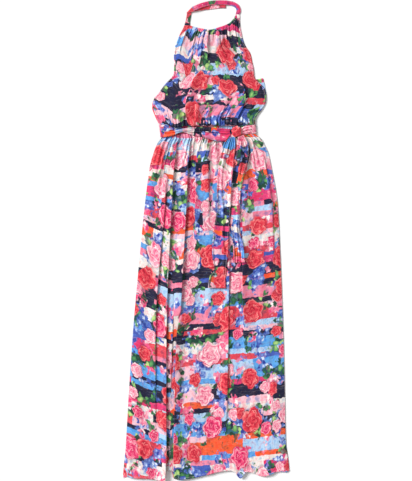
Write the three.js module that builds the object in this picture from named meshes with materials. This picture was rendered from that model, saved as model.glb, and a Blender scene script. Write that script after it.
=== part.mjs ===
import * as THREE from "three";

// A halter-neck maxi dress, laid flat on its back with the front uppermost: a gathered bodice
// on a neck strap, an elasticated waist casing under a tied sash, and a long gathered skirt.
// Millimetres. +X is to the right as the front is seen, +Y is towards the neck and +Z is up.
// The origin is under the middle of the dress, on the surface that it lies on.

const { lerp, clamp, smoothstep } = THREE.MathUtils;

// Cloth, and the gaps that keep its pieces apart at seams and between layers
const CLOTH = 1.2;
const STRAP_CLOTH = 2;
const GAP = 0.3;
const LAYER = CLOTH + GAP;

// Places along the dress
const WAIST_Y = 333;
const CASING_HEIGHT = 28;
const BODICE_Y = WAIST_Y + CASING_HEIGHT;
const SKIRT_LENGTH = 1070;

// How the layers climb over the sash's back stretch at the waist
const BACK_LIFT = LAYER;
const GATHER_RISE = 0.8;
const FRONT_LIFT = BACK_LIFT + GATHER_RISE;
const LIFT_ENDS = { from: 6, to: 60 };

// How full the cloth lies: between fold lines, and over the blouson's overhang
const SKIRT_BILLOW = 1.5;
const BODICE_BILLOW = 0.9;
const BLOUSON = { height: 6, y: 425, reach: 85, squareness: 0.6 };
// Where the front bodice comes down past the back's top edge
const STEP_DOWN = { from: 20, to: 60 };
const CASING_GATHERS = 22;
const BACK_GATHERS = 14;
const CASING_SIDES = { lowLeft: -141, highLeft: -144, right: 156 };

// The skirt's edges, by distance below the waist seam
const SKIRT_SIDES = [
  { down: 0, left: -141, right: 157 },
  { down: 18, left: -147, right: 173 },
  { down: 55, left: -162, right: 193 },
  { down: 95, left: -174, right: 202 },
  { down: 205, left: -189, right: 222 },
  { down: 360, left: -205, right: 231 },
  { down: 580, left: -225, right: 240 },
  { down: 810, left: -241, right: 246 },
  { down: 985, left: -251, right: 250 },
  { down: 1035, left: -256, right: 257 },
  { down: SKIRT_LENGTH, left: -259, right: 260 },
];

// The front hem's wave: how far below the waist seam it hangs, by share of the width
const FRONT_HEM = [
  { across: 0, down: 1065 },
  { across: 0.05, down: 1074 },
  { across: 0.15, down: 1076 },
  { across: 0.235, down: 1083 },
  { across: 0.254, down: 1082 },
  { across: 0.266, down: 1054 },
  { across: 0.292, down: 1053 },
  { across: 0.303, down: 1074 },
  { across: 0.38, down: 1077 },
  { across: 0.5, down: 1065 },
  { across: 0.6, down: 1053 },
  { across: 0.665, down: 1054 },
  { across: 0.705, down: 1075 },
  { across: 0.745, down: 1055 },
  { across: 0.845, down: 1069 },
  { across: 0.93, down: 1055 },
  { across: 0.985, down: 1056 },
  { across: 1, down: 1053 },
];

const BACK_HEM = [
  { across: 0, down: 1076 },
  { across: 0.06, down: 1066 },
  { across: 0.3, down: 1046 },
  { across: 0.7, down: 1044 },
  { across: 1, down: 1040 },
];

// Lines that the skirt's folds follow, as shares of the width at the waist, halfway and hem
const SKIRT_LINES = [
  { waist: 0.045, middle: 0.04, hem: 0.04 },
  { waist: 0.095, middle: 0.08, hem: 0.08 },
  { waist: 0.125, middle: 0.15, hem: 0.16 },
  { waist: 0.17, middle: 0.227, hem: 0.255 },
  { waist: 0.235, middle: 0.258, hem: 0.279 },
  { waist: 0.296, middle: 0.295, hem: 0.302 },
  { waist: 0.335, middle: 0.335, hem: 0.34 },
  { waist: 0.38, middle: 0.385, hem: 0.39 },
  { waist: 0.43, middle: 0.43, hem: 0.44 },
  { waist: 0.49, middle: 0.485, hem: 0.5 },
  { waist: 0.55, middle: 0.54, hem: 0.55 },
  { waist: 0.605, middle: 0.595, hem: 0.59 },
  { waist: 0.655, middle: 0.635, hem: 0.625 },
  { waist: 0.7, middle: 0.69, hem: 0.705 },
  { waist: 0.745, middle: 0.735, hem: 0.76 },
  { waist: 0.8, middle: 0.8, hem: 0.81 },
  { waist: 0.86, middle: 0.86, hem: 0.85 },
  { waist: 0.915, middle: 0.915, hem: 0.915 },
  { waist: 0.965, middle: 0.965, hem: 0.965 },
];

// The skirt's folds and gathers: the line, where it starts and ends below the waist, how high
// it stands, how far its crest leans to the right, and half its width
const SKIRT_FOLDS = [
  { line: 1, from: 0, to: 120, height: 4, lean: 0, width: 9 },
  { line: 2, from: 0, to: 300, height: 6, lean: -5, width: 9 },
  { line: 3, from: 150, to: 850, height: 4.5, lean: 5, width: 14 },
  { line: 4, from: 0, to: 1300, height: 8, lean: 8, width: 10 },
  { line: 5, from: 0, to: 180, height: 4, lean: 0, width: 8 },
  { line: 6, from: 0, to: 1300, height: 8, lean: -8, width: 10 },
  { line: 7, from: 0, to: 140, height: 4, lean: 0, width: 8 },
  { line: 8, from: 0, to: 430, height: 7, lean: -7, width: 10 },
  { line: 9, from: 0, to: 230, height: 4.5, lean: -3, width: 9 },
  { line: 10, from: 0, to: 300, height: 4, lean: 3, width: 10 },
  { line: 11, from: 0, to: 170, height: 3, lean: 0, width: 9 },
  { line: 12, from: 0, to: 200, height: 3, lean: 0, width: 9 },
  { line: 13, from: 350, to: 1020, height: 4, lean: 5, width: 13 },
  { line: 14, from: 0, to: 130, height: 3.5, lean: 0, width: 9 },
  { line: 14, from: 900, to: 1300, height: 9, lean: -3, width: 15 },
  { line: 15, from: 0, to: 760, height: 7, lean: -8, width: 11 },
  { line: 16, from: 0, to: 250, height: 5, lean: 4, width: 9 },
  { line: 17, from: 0, to: 200, height: 4.5, lean: 0, width: 9 },
  { line: 17, from: 930, to: 1300, height: 5, lean: 3, width: 18 },
  { line: 18, from: 0, to: 150, height: 4, lean: 0, width: 9 },
  { line: 18, from: 760, to: 1030, height: 3.5, lean: -4, width: 12 },
  { line: 19, from: 30, to: 560, height: 4, lean: 4, width: 10 },
];

const SKIRT_ROWS = [0, 12, 30, 60, 120, 210, 330, 470, 620, 770, 900, 1000, SKIRT_LENGTH];

// The front bodice's edges, by height above the origin's level
const FRONT_BODICE_SIDES = [
  { y: 361, left: -145, right: 156 },
  { y: 379, left: -153, right: 157 },
  { y: 392, left: -158, right: 163 },
  { y: 411, left: -164, right: 177 },
  { y: 430, left: -165, right: 186 },
  { y: 445, left: -160, right: 188 },
  { y: 460, left: -148, right: 187 },
  { y: 478, left: -135, right: 181 },
  { y: 492, left: -124, right: 166 },
  { y: 505, left: -111, right: 153 },
  { y: 518, left: -102, right: 150 },
  { y: 535, left: -100, right: 149 },
  { y: 560, left: -100, right: 144 },
  { y: 585, left: -100, right: 138 },
  { y: 605, left: -97, right: 125 },
  { y: 620, left: -91, right: 118 },
  { y: 643, left: -82, right: 112 },
  { y: 672, left: -68, right: 107 },
  { y: 706, left: -66, right: 105 },
];

// The neckline's height, by share of the bodice's width
const NECKLINE = [
  { across: 0, y: 672 },
  { across: 0.11, y: 671 },
  { across: 0.22, y: 666 },
  { across: 0.345, y: 661 },
  { across: 0.455, y: 658 },
  { across: 0.545, y: 661 },
  { across: 0.65, y: 667 },
  { across: 0.75, y: 674 },
  { across: 0.82, y: 681 },
  { across: 0.89, y: 693 },
  { across: 0.935, y: 705 },
  { across: 1, y: 706 },
];

const BODICE_LINES = [
  { waist: 0.07, middle: 0.07, hem: 0.08 },
  { waist: 0.15, middle: 0.14, hem: 0.16 },
  { waist: 0.24, middle: 0.2, hem: 0.24 },
  { waist: 0.31, middle: 0.27, hem: 0.32 },
  { waist: 0.39, middle: 0.36, hem: 0.39 },
  { waist: 0.455, middle: 0.44, hem: 0.455 },
  { waist: 0.515, middle: 0.52, hem: 0.52 },
  { waist: 0.575, middle: 0.6, hem: 0.59 },
  { waist: 0.65, middle: 0.67, hem: 0.67 },
  { waist: 0.73, middle: 0.74, hem: 0.75 },
  { waist: 0.82, middle: 0.8, hem: 0.82 },
  { waist: 0.91, middle: 0.9, hem: 0.91 },
];

// As the skirt's folds, but from and to are shares of the way up from waist to neckline
const BODICE_FOLDS = [
  { line: 1, from: 0, to: 0.2, height: 3.5, lean: 0, width: 10 },
  { line: 2, from: 0, to: 0.28, height: 5, lean: -3, width: 11 },
  { line: 3, from: 0, to: 0.22, height: 4, lean: 0, width: 10 },
  { line: 4, from: 0, to: 0.62, height: 8, lean: -8, width: 11 },
  { line: 5, from: 0, to: 0.3, height: 4.5, lean: -3, width: 11 },
  { line: 6, from: 0, to: 0.18, height: 4, lean: 0, width: 10 },
  { line: 7, from: 0, to: 0.2, height: 4, lean: 0, width: 10 },
  { line: 8, from: 0, to: 0.3, height: 4.5, lean: 3, width: 11 },
  { line: 9, from: 0, to: 0.2, height: 4, lean: 0, width: 10 },
  { line: 10, from: 0, to: 0.25, height: 4, lean: 0, width: 10 },
  { line: 11, from: 0, to: 0.56, height: 8, lean: 8, width: 11 },
  { line: 12, from: 0, to: 0.26, height: 4.5, lean: 3, width: 11 },
  { line: 2, from: 0.84, to: 2, height: 2.5, lean: 0, width: 7 },
  { line: 3, from: 0.8, to: 2, height: 3, lean: 0, width: 7 },
  { line: 4, from: 0.72, to: 2, height: 3.5, lean: 2, width: 7 },
  { line: 5, from: 0.78, to: 2, height: 3, lean: 0, width: 7 },
  { line: 6, from: 0.66, to: 2, height: 5, lean: 3, width: 7 },
  { line: 7, from: 0.76, to: 2, height: 3.5, lean: -2, width: 7 },
  { line: 8, from: 0.7, to: 2, height: 4, lean: 0, width: 7 },
  { line: 9, from: 0.78, to: 2, height: 3, lean: 0, width: 7 },
  { line: 10, from: 0.8, to: 2, height: 3, lean: 0, width: 7 },
  { line: 11, from: 0.86, to: 2, height: 2.5, lean: 0, width: 7 },
];

const BODICE_ROWS = [0, 0.04, 0.1, 0.18, 0.27, 0.37, 0.48, 0.6, 0.72, 0.83, 0.93, 1];

// The back bodice ends in a straight edge that slants up to the right
const BACK_BODICE_SIDES = [
  { y: 361, left: -145, right: 156 },
  { y: 379, left: -155, right: 157 },
  { y: 395, left: -162, right: 164 },
  { y: 412, left: -169, right: 177 },
  { y: 430, left: -171, right: 186 },
  { y: 445, left: -168, right: 188 },
  { y: 458, left: -160, right: 188 },
  { y: 486, left: -150, right: 184 },
  { y: 507, left: -145, right: 178 },
];
const BACK_TOP = { leftX: -160, leftY: 457, rightX: 178, rightY: 507 };

// The sash: widths and the lie of its centre line across the front
const SASH_BACK = { y: 346, width: 27, left: -147, right: 162 };
const SASH_LEFT = [
  { x: -136, y: 347.5, width: 26 },
  { x: -120, y: 346.5, width: 26 },
  { x: -95, y: 345, width: 21 },
  { x: -70, y: 344, width: 17 },
  { x: -45, y: 342, width: 22 },
  { x: -15, y: 339.5, width: 28 },
  { x: 20, y: 337.5, width: 30 },
  { x: 55, y: 336, width: 26 },
  { x: 79, y: 337, width: 20 },
];
const SASH_RIGHT = [
  { x: 111, y: 341, width: 22 },
  { x: 122, y: 343.5, width: 25 },
  { x: 136, y: 346, width: 26 },
  { x: 151, y: 346.5, width: 26 },
];
// The way round the edge of the waist, from the front stretch down to the back one
const WRAP = [
  { out: 6.5, drop: 0.6 },
  { out: 9.5, drop: 2.6 },
  { out: 10.2, drop: 4.8 },
];

const KNOT = { x: 95, y: 339, width: 30, height: 33, depth: 11, squareness: 0.72, turns: 0.07 };

// Centre lines and widths of the sash's two hanging ends
const LONG_END = [
  { x: 80, y: 320, width: 24 },
  { x: 76, y: 305, width: 34 },
  { x: 71, y: 280, width: 42 },
  { x: 63, y: 235, width: 45 },
  { x: 58, y: 190, width: 45 },
  { x: 56, y: 145, width: 44 },
  { x: 56, y: 100, width: 43 },
  { x: 51, y: 55, width: 46 },
  { x: 45.5, y: 10, width: 49 },
  { x: 42, y: -35, width: 51 },
  { x: 38, y: -80, width: 50 },
  { x: 32.5, y: -115, width: 49 },
  { x: 27, y: -142, width: 47 },
];
const SHORT_END = [
  { x: 110, y: 320, width: 22 },
  { x: 115, y: 300, width: 36 },
  { x: 115, y: 275, width: 44 },
  { x: 108, y: 240, width: 42 },
  { x: 99, y: 205, width: 38 },
  { x: 93, y: 165, width: 33 },
  { x: 90.5, y: 115, width: 30 },
  { x: 91, y: 60, width: 30 },
  { x: 93, y: 5, width: 31 },
  { x: 96, y: -68, width: 32 },
];

// The neck strap's halves
const STRAP_WIDTH = 14;
const LEFT_STRAP = { baseX: -59, baseY: 672, baseWidth: 17, slope: -0.06, foldX: -51, foldY: 719 };
const LEFT_STRAP_TOP = [
  { x: -30, y: 723.5 },
  { x: -10, y: 726 },
  { x: 10, y: 728.5 },
  { x: 30, y: 731 },
  { x: 48, y: 732.5 },
  { x: 62, y: 732.5 },
];
const RIGHT_STRAP_SLOPE = 0.1;
const RIGHT_STRAP = [
  { x: 99, y: 706.2 },
  { x: 101.5, y: 714 },
  { x: 101.5, y: 722 },
  { x: 97, y: 731 },
  { x: 87, y: 737.5 },
  { x: 72, y: 741.3 },
  { x: 52, y: 742.7 },
  { x: 26, y: 742.2 },
  { x: 4, y: 739 },
  { x: -15, y: 733 },
  { x: -31, y: 726.5 },
  { x: -41, y: 722 },
];

// Shares of a strip between two fold lines at which a section has its points
const STRIP_POINTS = [0, 0.2, 0.44, 0.74];

// How a fold comes up and dies away: within a share of its length and a share of the panel's
const FOLD_RISE = { own: 0.35, panel: 0.09 };
const FOLD_FALL = { own: 0.6, panel: 0.3 };
const FULLNESS_AT_SEAM = 0.18;
const FOLD_ROOM = 0.95;
const MIDDLE_REACH = 0.25;
const HEM_REACH = 6;

// Rows of the back bodice above the waist, and how far up they may come as a share
const BACK_BODICE_ROWS = [0, 12, 30, 60, 90];
const BACK_BODICE_FULL = 100;

// Ridges along the sash: height, place from edge (-1) to edge (1), and reach
const SASH_RIDGES = [
  { height: 2.2, at: 0.35, reach: 0.4 },
  { height: 1.2, at: -0.5, reach: 0.5 },
];
const END_CREASE = { height: 2.2, swing: 0.5, turns: 5, reach: 0.45 };
const END_EDGE = { height: 0.8, at: -0.7, reach: 0.4 };
const STRAP_CROWN = { height: 0.7, at: 0.2, reach: 0.7 };

// Rows of the left strap's first leg as shares of it, and the turns round its fold
const LEG_ROWS = [0, 0.15, 0.35, 0.6, 0.8, 0.92];
const FOLD_TURNS = [0, 0.17, 0.33, 0.5, 0.67, 0.83, 1];

const bump = (x) => (Math.abs(x) < 1 ? Math.cos((x * Math.PI) / 2) ** 2 : 0);

// A column of a table at a place, on a smooth curve through the table's rows.
function along(table, place, at, column) {
  const last = table.length - 1;
  const slope = (i) => {
    const a = table[Math.max(i - 1, 0)];
    const b = table[Math.min(i + 1, last)];
    return (b[column] - a[column]) / (b[place] - a[place]);
  };
  const sign = table[last][place] > table[0][place] ? 1 : -1;
  let i = 0;
  while (i < last - 1 && sign * at > sign * table[i + 1][place]) i++;
  const step = table[i + 1][place] - table[i][place];
  const t = clamp((at - table[i][place]) / step, 0, 1);
  const h = t * t * (3 - 2 * t);
  const from = table[i][column];
  const to = table[i + 1][column];
  const bend = t * (1 - t) * ((1 - t) * slope(i) - t * slope(i + 1)) * step;
  return lerp(from, to, h) + bend;
}

// Where a fold line runs at a share of the way along, through its three stated shares.
function lineAt(line, share) {
  const early = lerp(line.waist, line.middle, share * 2);
  const late = lerp(line.middle, line.hem, share * 2 - 1);
  return lerp(early, late, smoothstep(share, 0.5 - MIDDLE_REACH, 0.5 + MIDDLE_REACH));
}

// How fully a fold stands at a place between its ends.
function fullness(fold, at, span) {
  const length = fold.to - fold.from;
  const rise = Math.min(length * FOLD_RISE.own, span * FOLD_RISE.panel);
  const fall = Math.min(length * FOLD_FALL.own, span * FOLD_FALL.panel);
  const least = fold.from === 0 ? FULLNESS_AT_SEAM : 0;
  const start = lerp(least, 1, smoothstep(at, fold.from, fold.from + rise));
  return start * (1 - smoothstep(at, fold.to - fall, fold.to));
}

// A grid of middle points for a panel whose folds lean along X. place(across, at) gives the
// panel's own point before it is folded.
function foldedPanel({ rows, lines, folds, place, billow }) {
  const span = rows[rows.length - 1];
  return rows.map((at) => {
    const shares = [0, ...lines.map((line) => lineAt(line, at / span)), 1];
    const feet = shares.map((share) => place(share, at).x);
    const row = [];
    for (let strip = 0; strip < shares.length - 1; strip++) {
      const points = strip === shares.length - 2 ? [...STRIP_POINTS, 1] : STRIP_POINTS;
      for (const share of points) {
        const point = place(lerp(shares[strip], shares[strip + 1], share), at);
        const foot = point.x;
        point.z += billow * bump(2 * share - 1);
        for (const fold of folds) {
          const side = foot < feet[fold.line] ? -1 : 1;
          const room = Math.abs(feet[fold.line + side] - feet[fold.line]) * FOLD_ROOM;
          const reach = Math.min(fold.width, room);
          const size = fullness(fold, at, span) * bump((foot - feet[fold.line]) / reach);
          const squeeze = reach / fold.width;
          point.x += fold.lean * size * squeeze;
          point.z += fold.height * size * Math.sqrt(squeeze);
        }
        row.push(point);
      }
    }
    return row;
  });
}

// A closed wall round a grid of middle points, whose rows run along +X and follow each other
// so that the wall's outer side is on the left of them.
function wall(grid, thickness) {
  const rows = grid.length;
  const columns = grid[0].length;
  const outer = [];
  const inner = [];
  const across = new THREE.Vector3();
  const onward = new THREE.Vector3();
  for (let r = 0; r < rows; r++) {
    for (let c = 0; c < columns; c++) {
      across.subVectors(grid[r][Math.min(c + 1, columns - 1)], grid[r][Math.max(c - 1, 0)]);
      onward.subVectors(grid[Math.min(r + 1, rows - 1)][c], grid[Math.max(r - 1, 0)][c]);
      const normal = across.clone().cross(onward).normalize();
      outer.push(grid[r][c].clone().addScaledVector(normal, thickness / 2));
      inner.push(grid[r][c].clone().addScaledVector(normal, -thickness / 2));
    }
  }
  const index = [];
  const quad = (a, b, c, d) => index.push(a, b, c, a, c, d);
  const top = (r, c) => r * columns + c;
  const under = (r, c) => rows * columns + r * columns + c;
  for (let r = 0; r < rows - 1; r++) {
    for (let c = 0; c < columns - 1; c++) {
      quad(top(r, c), top(r, c + 1), top(r + 1, c + 1), top(r + 1, c));
      quad(under(r, c), under(r + 1, c), under(r + 1, c + 1), under(r, c + 1));
    }
    quad(top(r, 0), top(r + 1, 0), under(r + 1, 0), under(r, 0));
    quad(top(r, columns - 1), under(r, columns - 1), under(r + 1, columns - 1), top(r + 1, columns - 1));
  }
  for (let c = 0; c < columns - 1; c++) {
    quad(top(0, c), under(0, c), under(0, c + 1), top(0, c + 1));
    quad(top(rows - 1, c), top(rows - 1, c + 1), under(rows - 1, c + 1), under(rows - 1, c));
  }
  const geometry = new THREE.BufferGeometry();
  geometry.setAttribute(
    "position",
    new THREE.Float32BufferAttribute([...outer, ...inner].flatMap((p) => [p.x, p.y, p.z]), 3),
  );
  geometry.setIndex(index);
  geometry.computeVertexNormals();
  return geometry;
}

// How much the layers are lifted at a distance from the waist.
const lifted = (distance) => 1 - smoothstep(distance, LIFT_ENDS.from, LIFT_ENDS.to);

// A point of the skirt before it is folded. hem is the table of the lower edge.
function skirtPoint(hem, across, down) {
  const left = along(SKIRT_SIDES, "down", down, "left");
  const right = along(SKIRT_SIDES, "down", down, "right");
  const hang = along(hem, "across", across, "down") - SKIRT_LENGTH;
  const stretch = hang * (down / SKIRT_LENGTH) ** HEM_REACH;
  return new THREE.Vector3(lerp(left, right, across), WAIST_Y - down - stretch, 0);
}

function skirtFrontGrid() {
  const place = (across, down) => {
    const point = skirtPoint(FRONT_HEM, across, down);
    point.z = CLOTH / 2 + LAYER + FRONT_LIFT * lifted(down);
    return point;
  };
  const grid = foldedPanel({
    rows: SKIRT_ROWS,
    lines: SKIRT_LINES,
    folds: SKIRT_FOLDS,
    place,
    billow: SKIRT_BILLOW,
  });
  return grid.reverse();
}

// The back panels lie flat, and only ripple where the waist lifts them.
function rippled(point, across, distance) {
  const ripple = bump(((across * BACK_GATHERS) % 1) * 2 - 1);
  point.z = CLOTH / 2 + lifted(distance) * (BACK_LIFT + GATHER_RISE * ripple * smoothstep(distance, 0, 10));
  return point;
}

const BACK_POINTS = Array.from({ length: BACK_GATHERS * 2 + 1 }, (_, i) => i / (BACK_GATHERS * 2));

function skirtBackGrid() {
  const grid = SKIRT_ROWS.map((down) =>
    BACK_POINTS.map((across) => rippled(skirtPoint(BACK_HEM, across, down), across, down)),
  );
  return grid.reverse();
}

const backTop = (x) =>
  lerp(BACK_TOP.leftY, BACK_TOP.rightY, (x - BACK_TOP.leftX) / (BACK_TOP.rightX - BACK_TOP.leftX));

function bodiceFrontGrid() {
  const base = BODICE_Y + GAP;
  const place = (across, share) => {
    const y = lerp(base, along(NECKLINE, "across", across, "y"), share);
    const left = along(FRONT_BODICE_SIDES, "y", y, "left");
    const right = along(FRONT_BODICE_SIDES, "y", y, "right");
    const x = lerp(left, right, across);
    const overBack = 1 - smoothstep(y, backTop(x) + STEP_DOWN.from, backTop(x) + STEP_DOWN.to);
    const fullAcross = Math.sin(Math.PI * across) ** BLOUSON.squareness;
    const puff = BLOUSON.height * fullAcross * bump((y - BLOUSON.y) / BLOUSON.reach);
    const z = CLOTH / 2 + LAYER * overBack + FRONT_LIFT * lifted(y - base) + puff;
    return new THREE.Vector3(x, y, z);
  };
  return foldedPanel({
    rows: BODICE_ROWS,
    lines: BODICE_LINES,
    folds: BODICE_FOLDS,
    place,
    billow: BODICE_BILLOW,
  });
}

function bodiceBackGrid() {
  const base = BODICE_Y + GAP;
  return [...BACK_BODICE_ROWS, Infinity].map((distance) =>
    BACK_POINTS.map((across) => {
      const topY = lerp(BACK_TOP.leftY, BACK_TOP.rightY, across);
      const squeeze = Math.min(1, (topY - base) / BACK_BODICE_FULL);
      const y = Math.min(topY, base + distance * squeeze);
      const left = along(BACK_BODICE_SIDES, "y", y, "left");
      const right = along(BACK_BODICE_SIDES, "y", y, "right");
      return rippled(new THREE.Vector3(lerp(left, right, across), y, 0), across, y - base);
    }),
  );
}

// The gathered casing that holds the waist elastic, front or back.
function casingGrid(level) {
  const columns = CASING_GATHERS * 2;
  return [0, 0.5, 1].map((share) => {
    const left = lerp(CASING_SIDES.lowLeft, CASING_SIDES.highLeft, share);
    const y = lerp(WAIST_Y + GAP, BODICE_Y, share);
    return Array.from({ length: columns + 1 }, (_, i) => {
      const ripple = i % 2 ? GATHER_RISE : 0;
      return new THREE.Vector3(lerp(left, CASING_SIDES.right, i / columns), y, level + ripple);
    });
  });
}

// The height of the highest cloth over each small square of the surface.
function heightMap(grids) {
  const cell = 4;
  const heights = new Map();
  const key = (x, y) => Math.round(x / cell) * 1000 + Math.round(y / cell);
  for (const grid of grids) {
    for (let r = 0; r < grid.length - 1; r++) {
      for (let c = 0; c < grid[0].length - 1; c++) {
        const [a, b] = [grid[r][c], grid[r][c + 1]];
        const [d, e] = [grid[r + 1][c], grid[r + 1][c + 1]];
        const steps = Math.ceil(a.distanceTo(e) / 3) + 1;
        for (let i = 0; i <= steps; i++) {
          const low = a.clone().lerp(d, i / steps);
          const high = b.clone().lerp(e, i / steps);
          for (let j = 0; j <= 2; j++) {
            const point = low.clone().lerp(high, j / 2);
            const at = key(point.x, point.y);
            heights.set(at, Math.max(heights.get(at) ?? 0, point.z + CLOTH / 2));
          }
        }
      }
    }
  }
  return (x, y) => {
    let highest = 0;
    for (let i = -1; i <= 1; i++) {
      for (let j = -1; j <= 1; j++) {
        highest = Math.max(highest, heights.get(key(x + i * cell, y + j * cell)) ?? 0);
      }
    }
    return highest;
  };
}

// Adds a height to each station of a ribbon, so that it bridges what lies under it.
function laidOn(stations, heightAt) {
  const highest = stations.map(({ x, y, width, side }) => {
    const points = Array.from({ length: 9 }, (_, i) => ((i - 4) / 8) * width);
    return Math.max(...points.map((offset) => heightAt(x + side.x * offset, y + side.y * offset)));
  });
  return stations.map((station, i) => {
    const near = highest.slice(Math.max(i - 1, 0), i + 2);
    return { ...station, z: Math.max(...near) + GAP + CLOTH / 2 };
  });
}

// Points of a table's centre line, closer together, each with the unit vector to its side.
function stationsOf(table, steps) {
  const curve = new THREE.CatmullRomCurve3(table.map(({ x, y }) => new THREE.Vector3(x, y, 0)));
  return Array.from({ length: steps + 1 }, (_, i) => {
    const t = i / steps;
    const point = curve.getPoint(t);
    const onward = curve.getTangent(t);
    const place = t * (table.length - 1);
    const k = Math.min(Math.floor(place), table.length - 2);
    const width = table[k].width ? lerp(table[k].width, table[k + 1].width, place - k) : STRAP_WIDTH;
    return { x: point.x, y: point.y, width, side: new THREE.Vector3(onward.y, -onward.x, 0) };
  });
}

// A grid across a ribbon's stations. relief(t, share) raises the cloth at t from -1 to 1.
function ribbonGrid(stations, columns, relief) {
  return stations.map(({ x, y, z, width, side }, i) =>
    Array.from({ length: columns + 1 }, (_, c) => {
      const t = (2 * c) / columns - 1;
      const share = i / (stations.length - 1);
      return new THREE.Vector3(
        x + (side.x * t * width) / 2,
        y + (side.y * t * width) / 2,
        z + relief(t, share),
      );
    }),
  );
}

// The stations that take a front stretch of the sash round the waist's edge.
function wrapped(end, outward) {
  const side = new THREE.Vector3(0, -1, 0);
  return WRAP.map(({ out, drop }) => ({
    x: end.x + outward * out,
    y: end.y,
    z: end.z - drop,
    width: end.width,
    side,
  }));
}

function sashBackGrid() {
  const stations = stationsOf(
    [
      { x: SASH_BACK.left, y: SASH_BACK.y, width: SASH_BACK.width },
      { x: SASH_BACK.right, y: SASH_BACK.y, width: SASH_BACK.width },
    ],
    6,
  );
  return ribbonGrid(
    stations.map((station) => ({ ...station, z: CLOTH / 2 })),
    2,
    () => 0,
  );
}

function sashLeftGrid(heightAt) {
  const front = laidOn(stationsOf(SASH_LEFT, 16), heightAt);
  const round = wrapped(front[0], -1).reverse();
  return ribbonGrid([...round, ...front], 8, (t, share) => {
    return smoothstep(share, 0.2, 0.35) * ridges(SASH_RIDGES, t);
  });
}

function sashRightGrid(heightAt) {
  const front = laidOn(stationsOf(SASH_RIGHT, 6), heightAt);
  const round = wrapped(front[front.length - 1], 1);
  return ribbonGrid([...front, ...round], 6, (t, share) => {
    return (1 - smoothstep(share, 0.3, 0.6)) * ridges(SASH_RIDGES, t);
  });
}

// The height that ridges along a ribbon give at t, from -1 at one edge to 1 at the other.
function ridges(table, t) {
  return table.reduce((sum, { height, at, reach }) => sum + height * bump((t - at) / reach), 0);
}

// The knot: a pillow of wound cloth, with the turns of the sash as soft ridges across it.
function knotGeometry(level) {
  const geometry = new THREE.SphereGeometry(1, 20, 14);
  const position = geometry.getAttribute("position");
  const boxy = (value) => Math.sign(value) * Math.abs(value) ** KNOT.squareness;
  for (let i = 0; i < position.count; i++) {
    const [x, y, z] = [position.getX(i), position.getY(i), position.getZ(i)];
    const turn = 1 + KNOT.turns * Math.cos(9 * x + 4 * y) * (1 - Math.abs(z) * 0.4);
    position.setXYZ(
      i,
      (boxy(x) * KNOT.width * turn) / 2,
      (boxy(y) * KNOT.height * turn) / 2,
      (boxy(z) * KNOT.depth) / 2,
    );
  }
  geometry.deleteAttribute("normal");
  geometry.deleteAttribute("uv");
  geometry.translate(KNOT.x, KNOT.y, level + KNOT.depth / 2);
  return geometry;
}

// A hanging end of the sash, with a crease along it that wanders from edge to edge.
function endGrid(table, steps, heightAt, start) {
  const stations = laidOn(stationsOf(table, steps), heightAt);
  return ribbonGrid(stations, 6, (t, share) => {
    const at = END_CREASE.swing * Math.sin(start + END_CREASE.turns * share);
    return ridges([{ ...END_CREASE, at }, END_EDGE], t);
  });
}

// The left half of the strap runs up from the bodice, folds over on a slant and runs right.
function strapLeftGrid() {
  const up = new THREE.Vector3(
    LEFT_STRAP.foldX - LEFT_STRAP.baseX,
    LEFT_STRAP.foldY - LEFT_STRAP.baseY,
    0,
  ).normalize();
  const right = new THREE.Vector3(
    LEFT_STRAP_TOP[0].x - LEFT_STRAP.foldX,
    LEFT_STRAP_TOP[0].y - LEFT_STRAP.foldY,
    0,
  ).normalize();
  const crease = up.clone().add(right).normalize();
  const outward = new THREE.Vector3(-crease.y, crease.x, 0);
  const slant = STRAP_WIDTH / 2 / Math.sin(up.angleTo(crease));
  const fold = new THREE.Vector3(LEFT_STRAP.foldX, LEFT_STRAP.foldY, 0);
  const level = STRAP_CLOTH / 2;
  const radius = (STRAP_CLOTH + 2 * GAP) / 2;
  const columns = [-1, -0.5, 0, 0.5, 1];
  const grid = [];
  // The rows of the first leg turn from square across it to parallel with the crease.
  const upSide = new THREE.Vector3(1, LEFT_STRAP.slope, 0).normalize();
  const base = new THREE.Vector3(LEFT_STRAP.baseX, LEFT_STRAP.baseY + GAP, 0);
  for (const share of LEG_ROWS) {
    const centre = base.clone().lerp(fold, share);
    const width = lerp(LEFT_STRAP.baseWidth, STRAP_WIDTH, smoothstep(share, 0, 0.3));
    const turned = smoothstep(share, 0.1, 0.92);
    const half = upSide.clone().multiplyScalar(width / 2).lerp(crease.clone().multiplyScalar(slant), turned);
    grid.push(columns.map((t) => centre.clone().addScaledVector(half, t).setZ(level)));
  }
  for (const angle of FOLD_TURNS.map((turn) => turn * Math.PI)) {
    const centre = fold.clone().addScaledVector(outward, radius * Math.sin(angle));
    const z = level + radius * (1 - Math.cos(angle));
    grid.push(columns.map((t) => centre.clone().addScaledVector(crease, slant * t).setZ(z)));
  }
  // The second leg lies on the first at the corner, then comes down to the surface.
  const over = stationsOf([{ x: fold.x, y: fold.y }, ...LEFT_STRAP_TOP], 14);
  over.slice(1).forEach(({ x, y, side }, i) => {
    const share = (i + 1) / (over.length - 1);
    const turned = 1 - smoothstep(share, 0.02, 0.3);
    const half = side
      .clone()
      .multiplyScalar(-STRAP_WIDTH / 2)
      .lerp(crease.clone().multiplyScalar(slant), turned);
    const z = level + 2 * radius * (1 - smoothstep(share, 0.22, 0.4));
    grid.push(columns.map((t) => new THREE.Vector3(x, y, z).addScaledVector(half, t)));
  });
  return grid;
}

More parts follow.
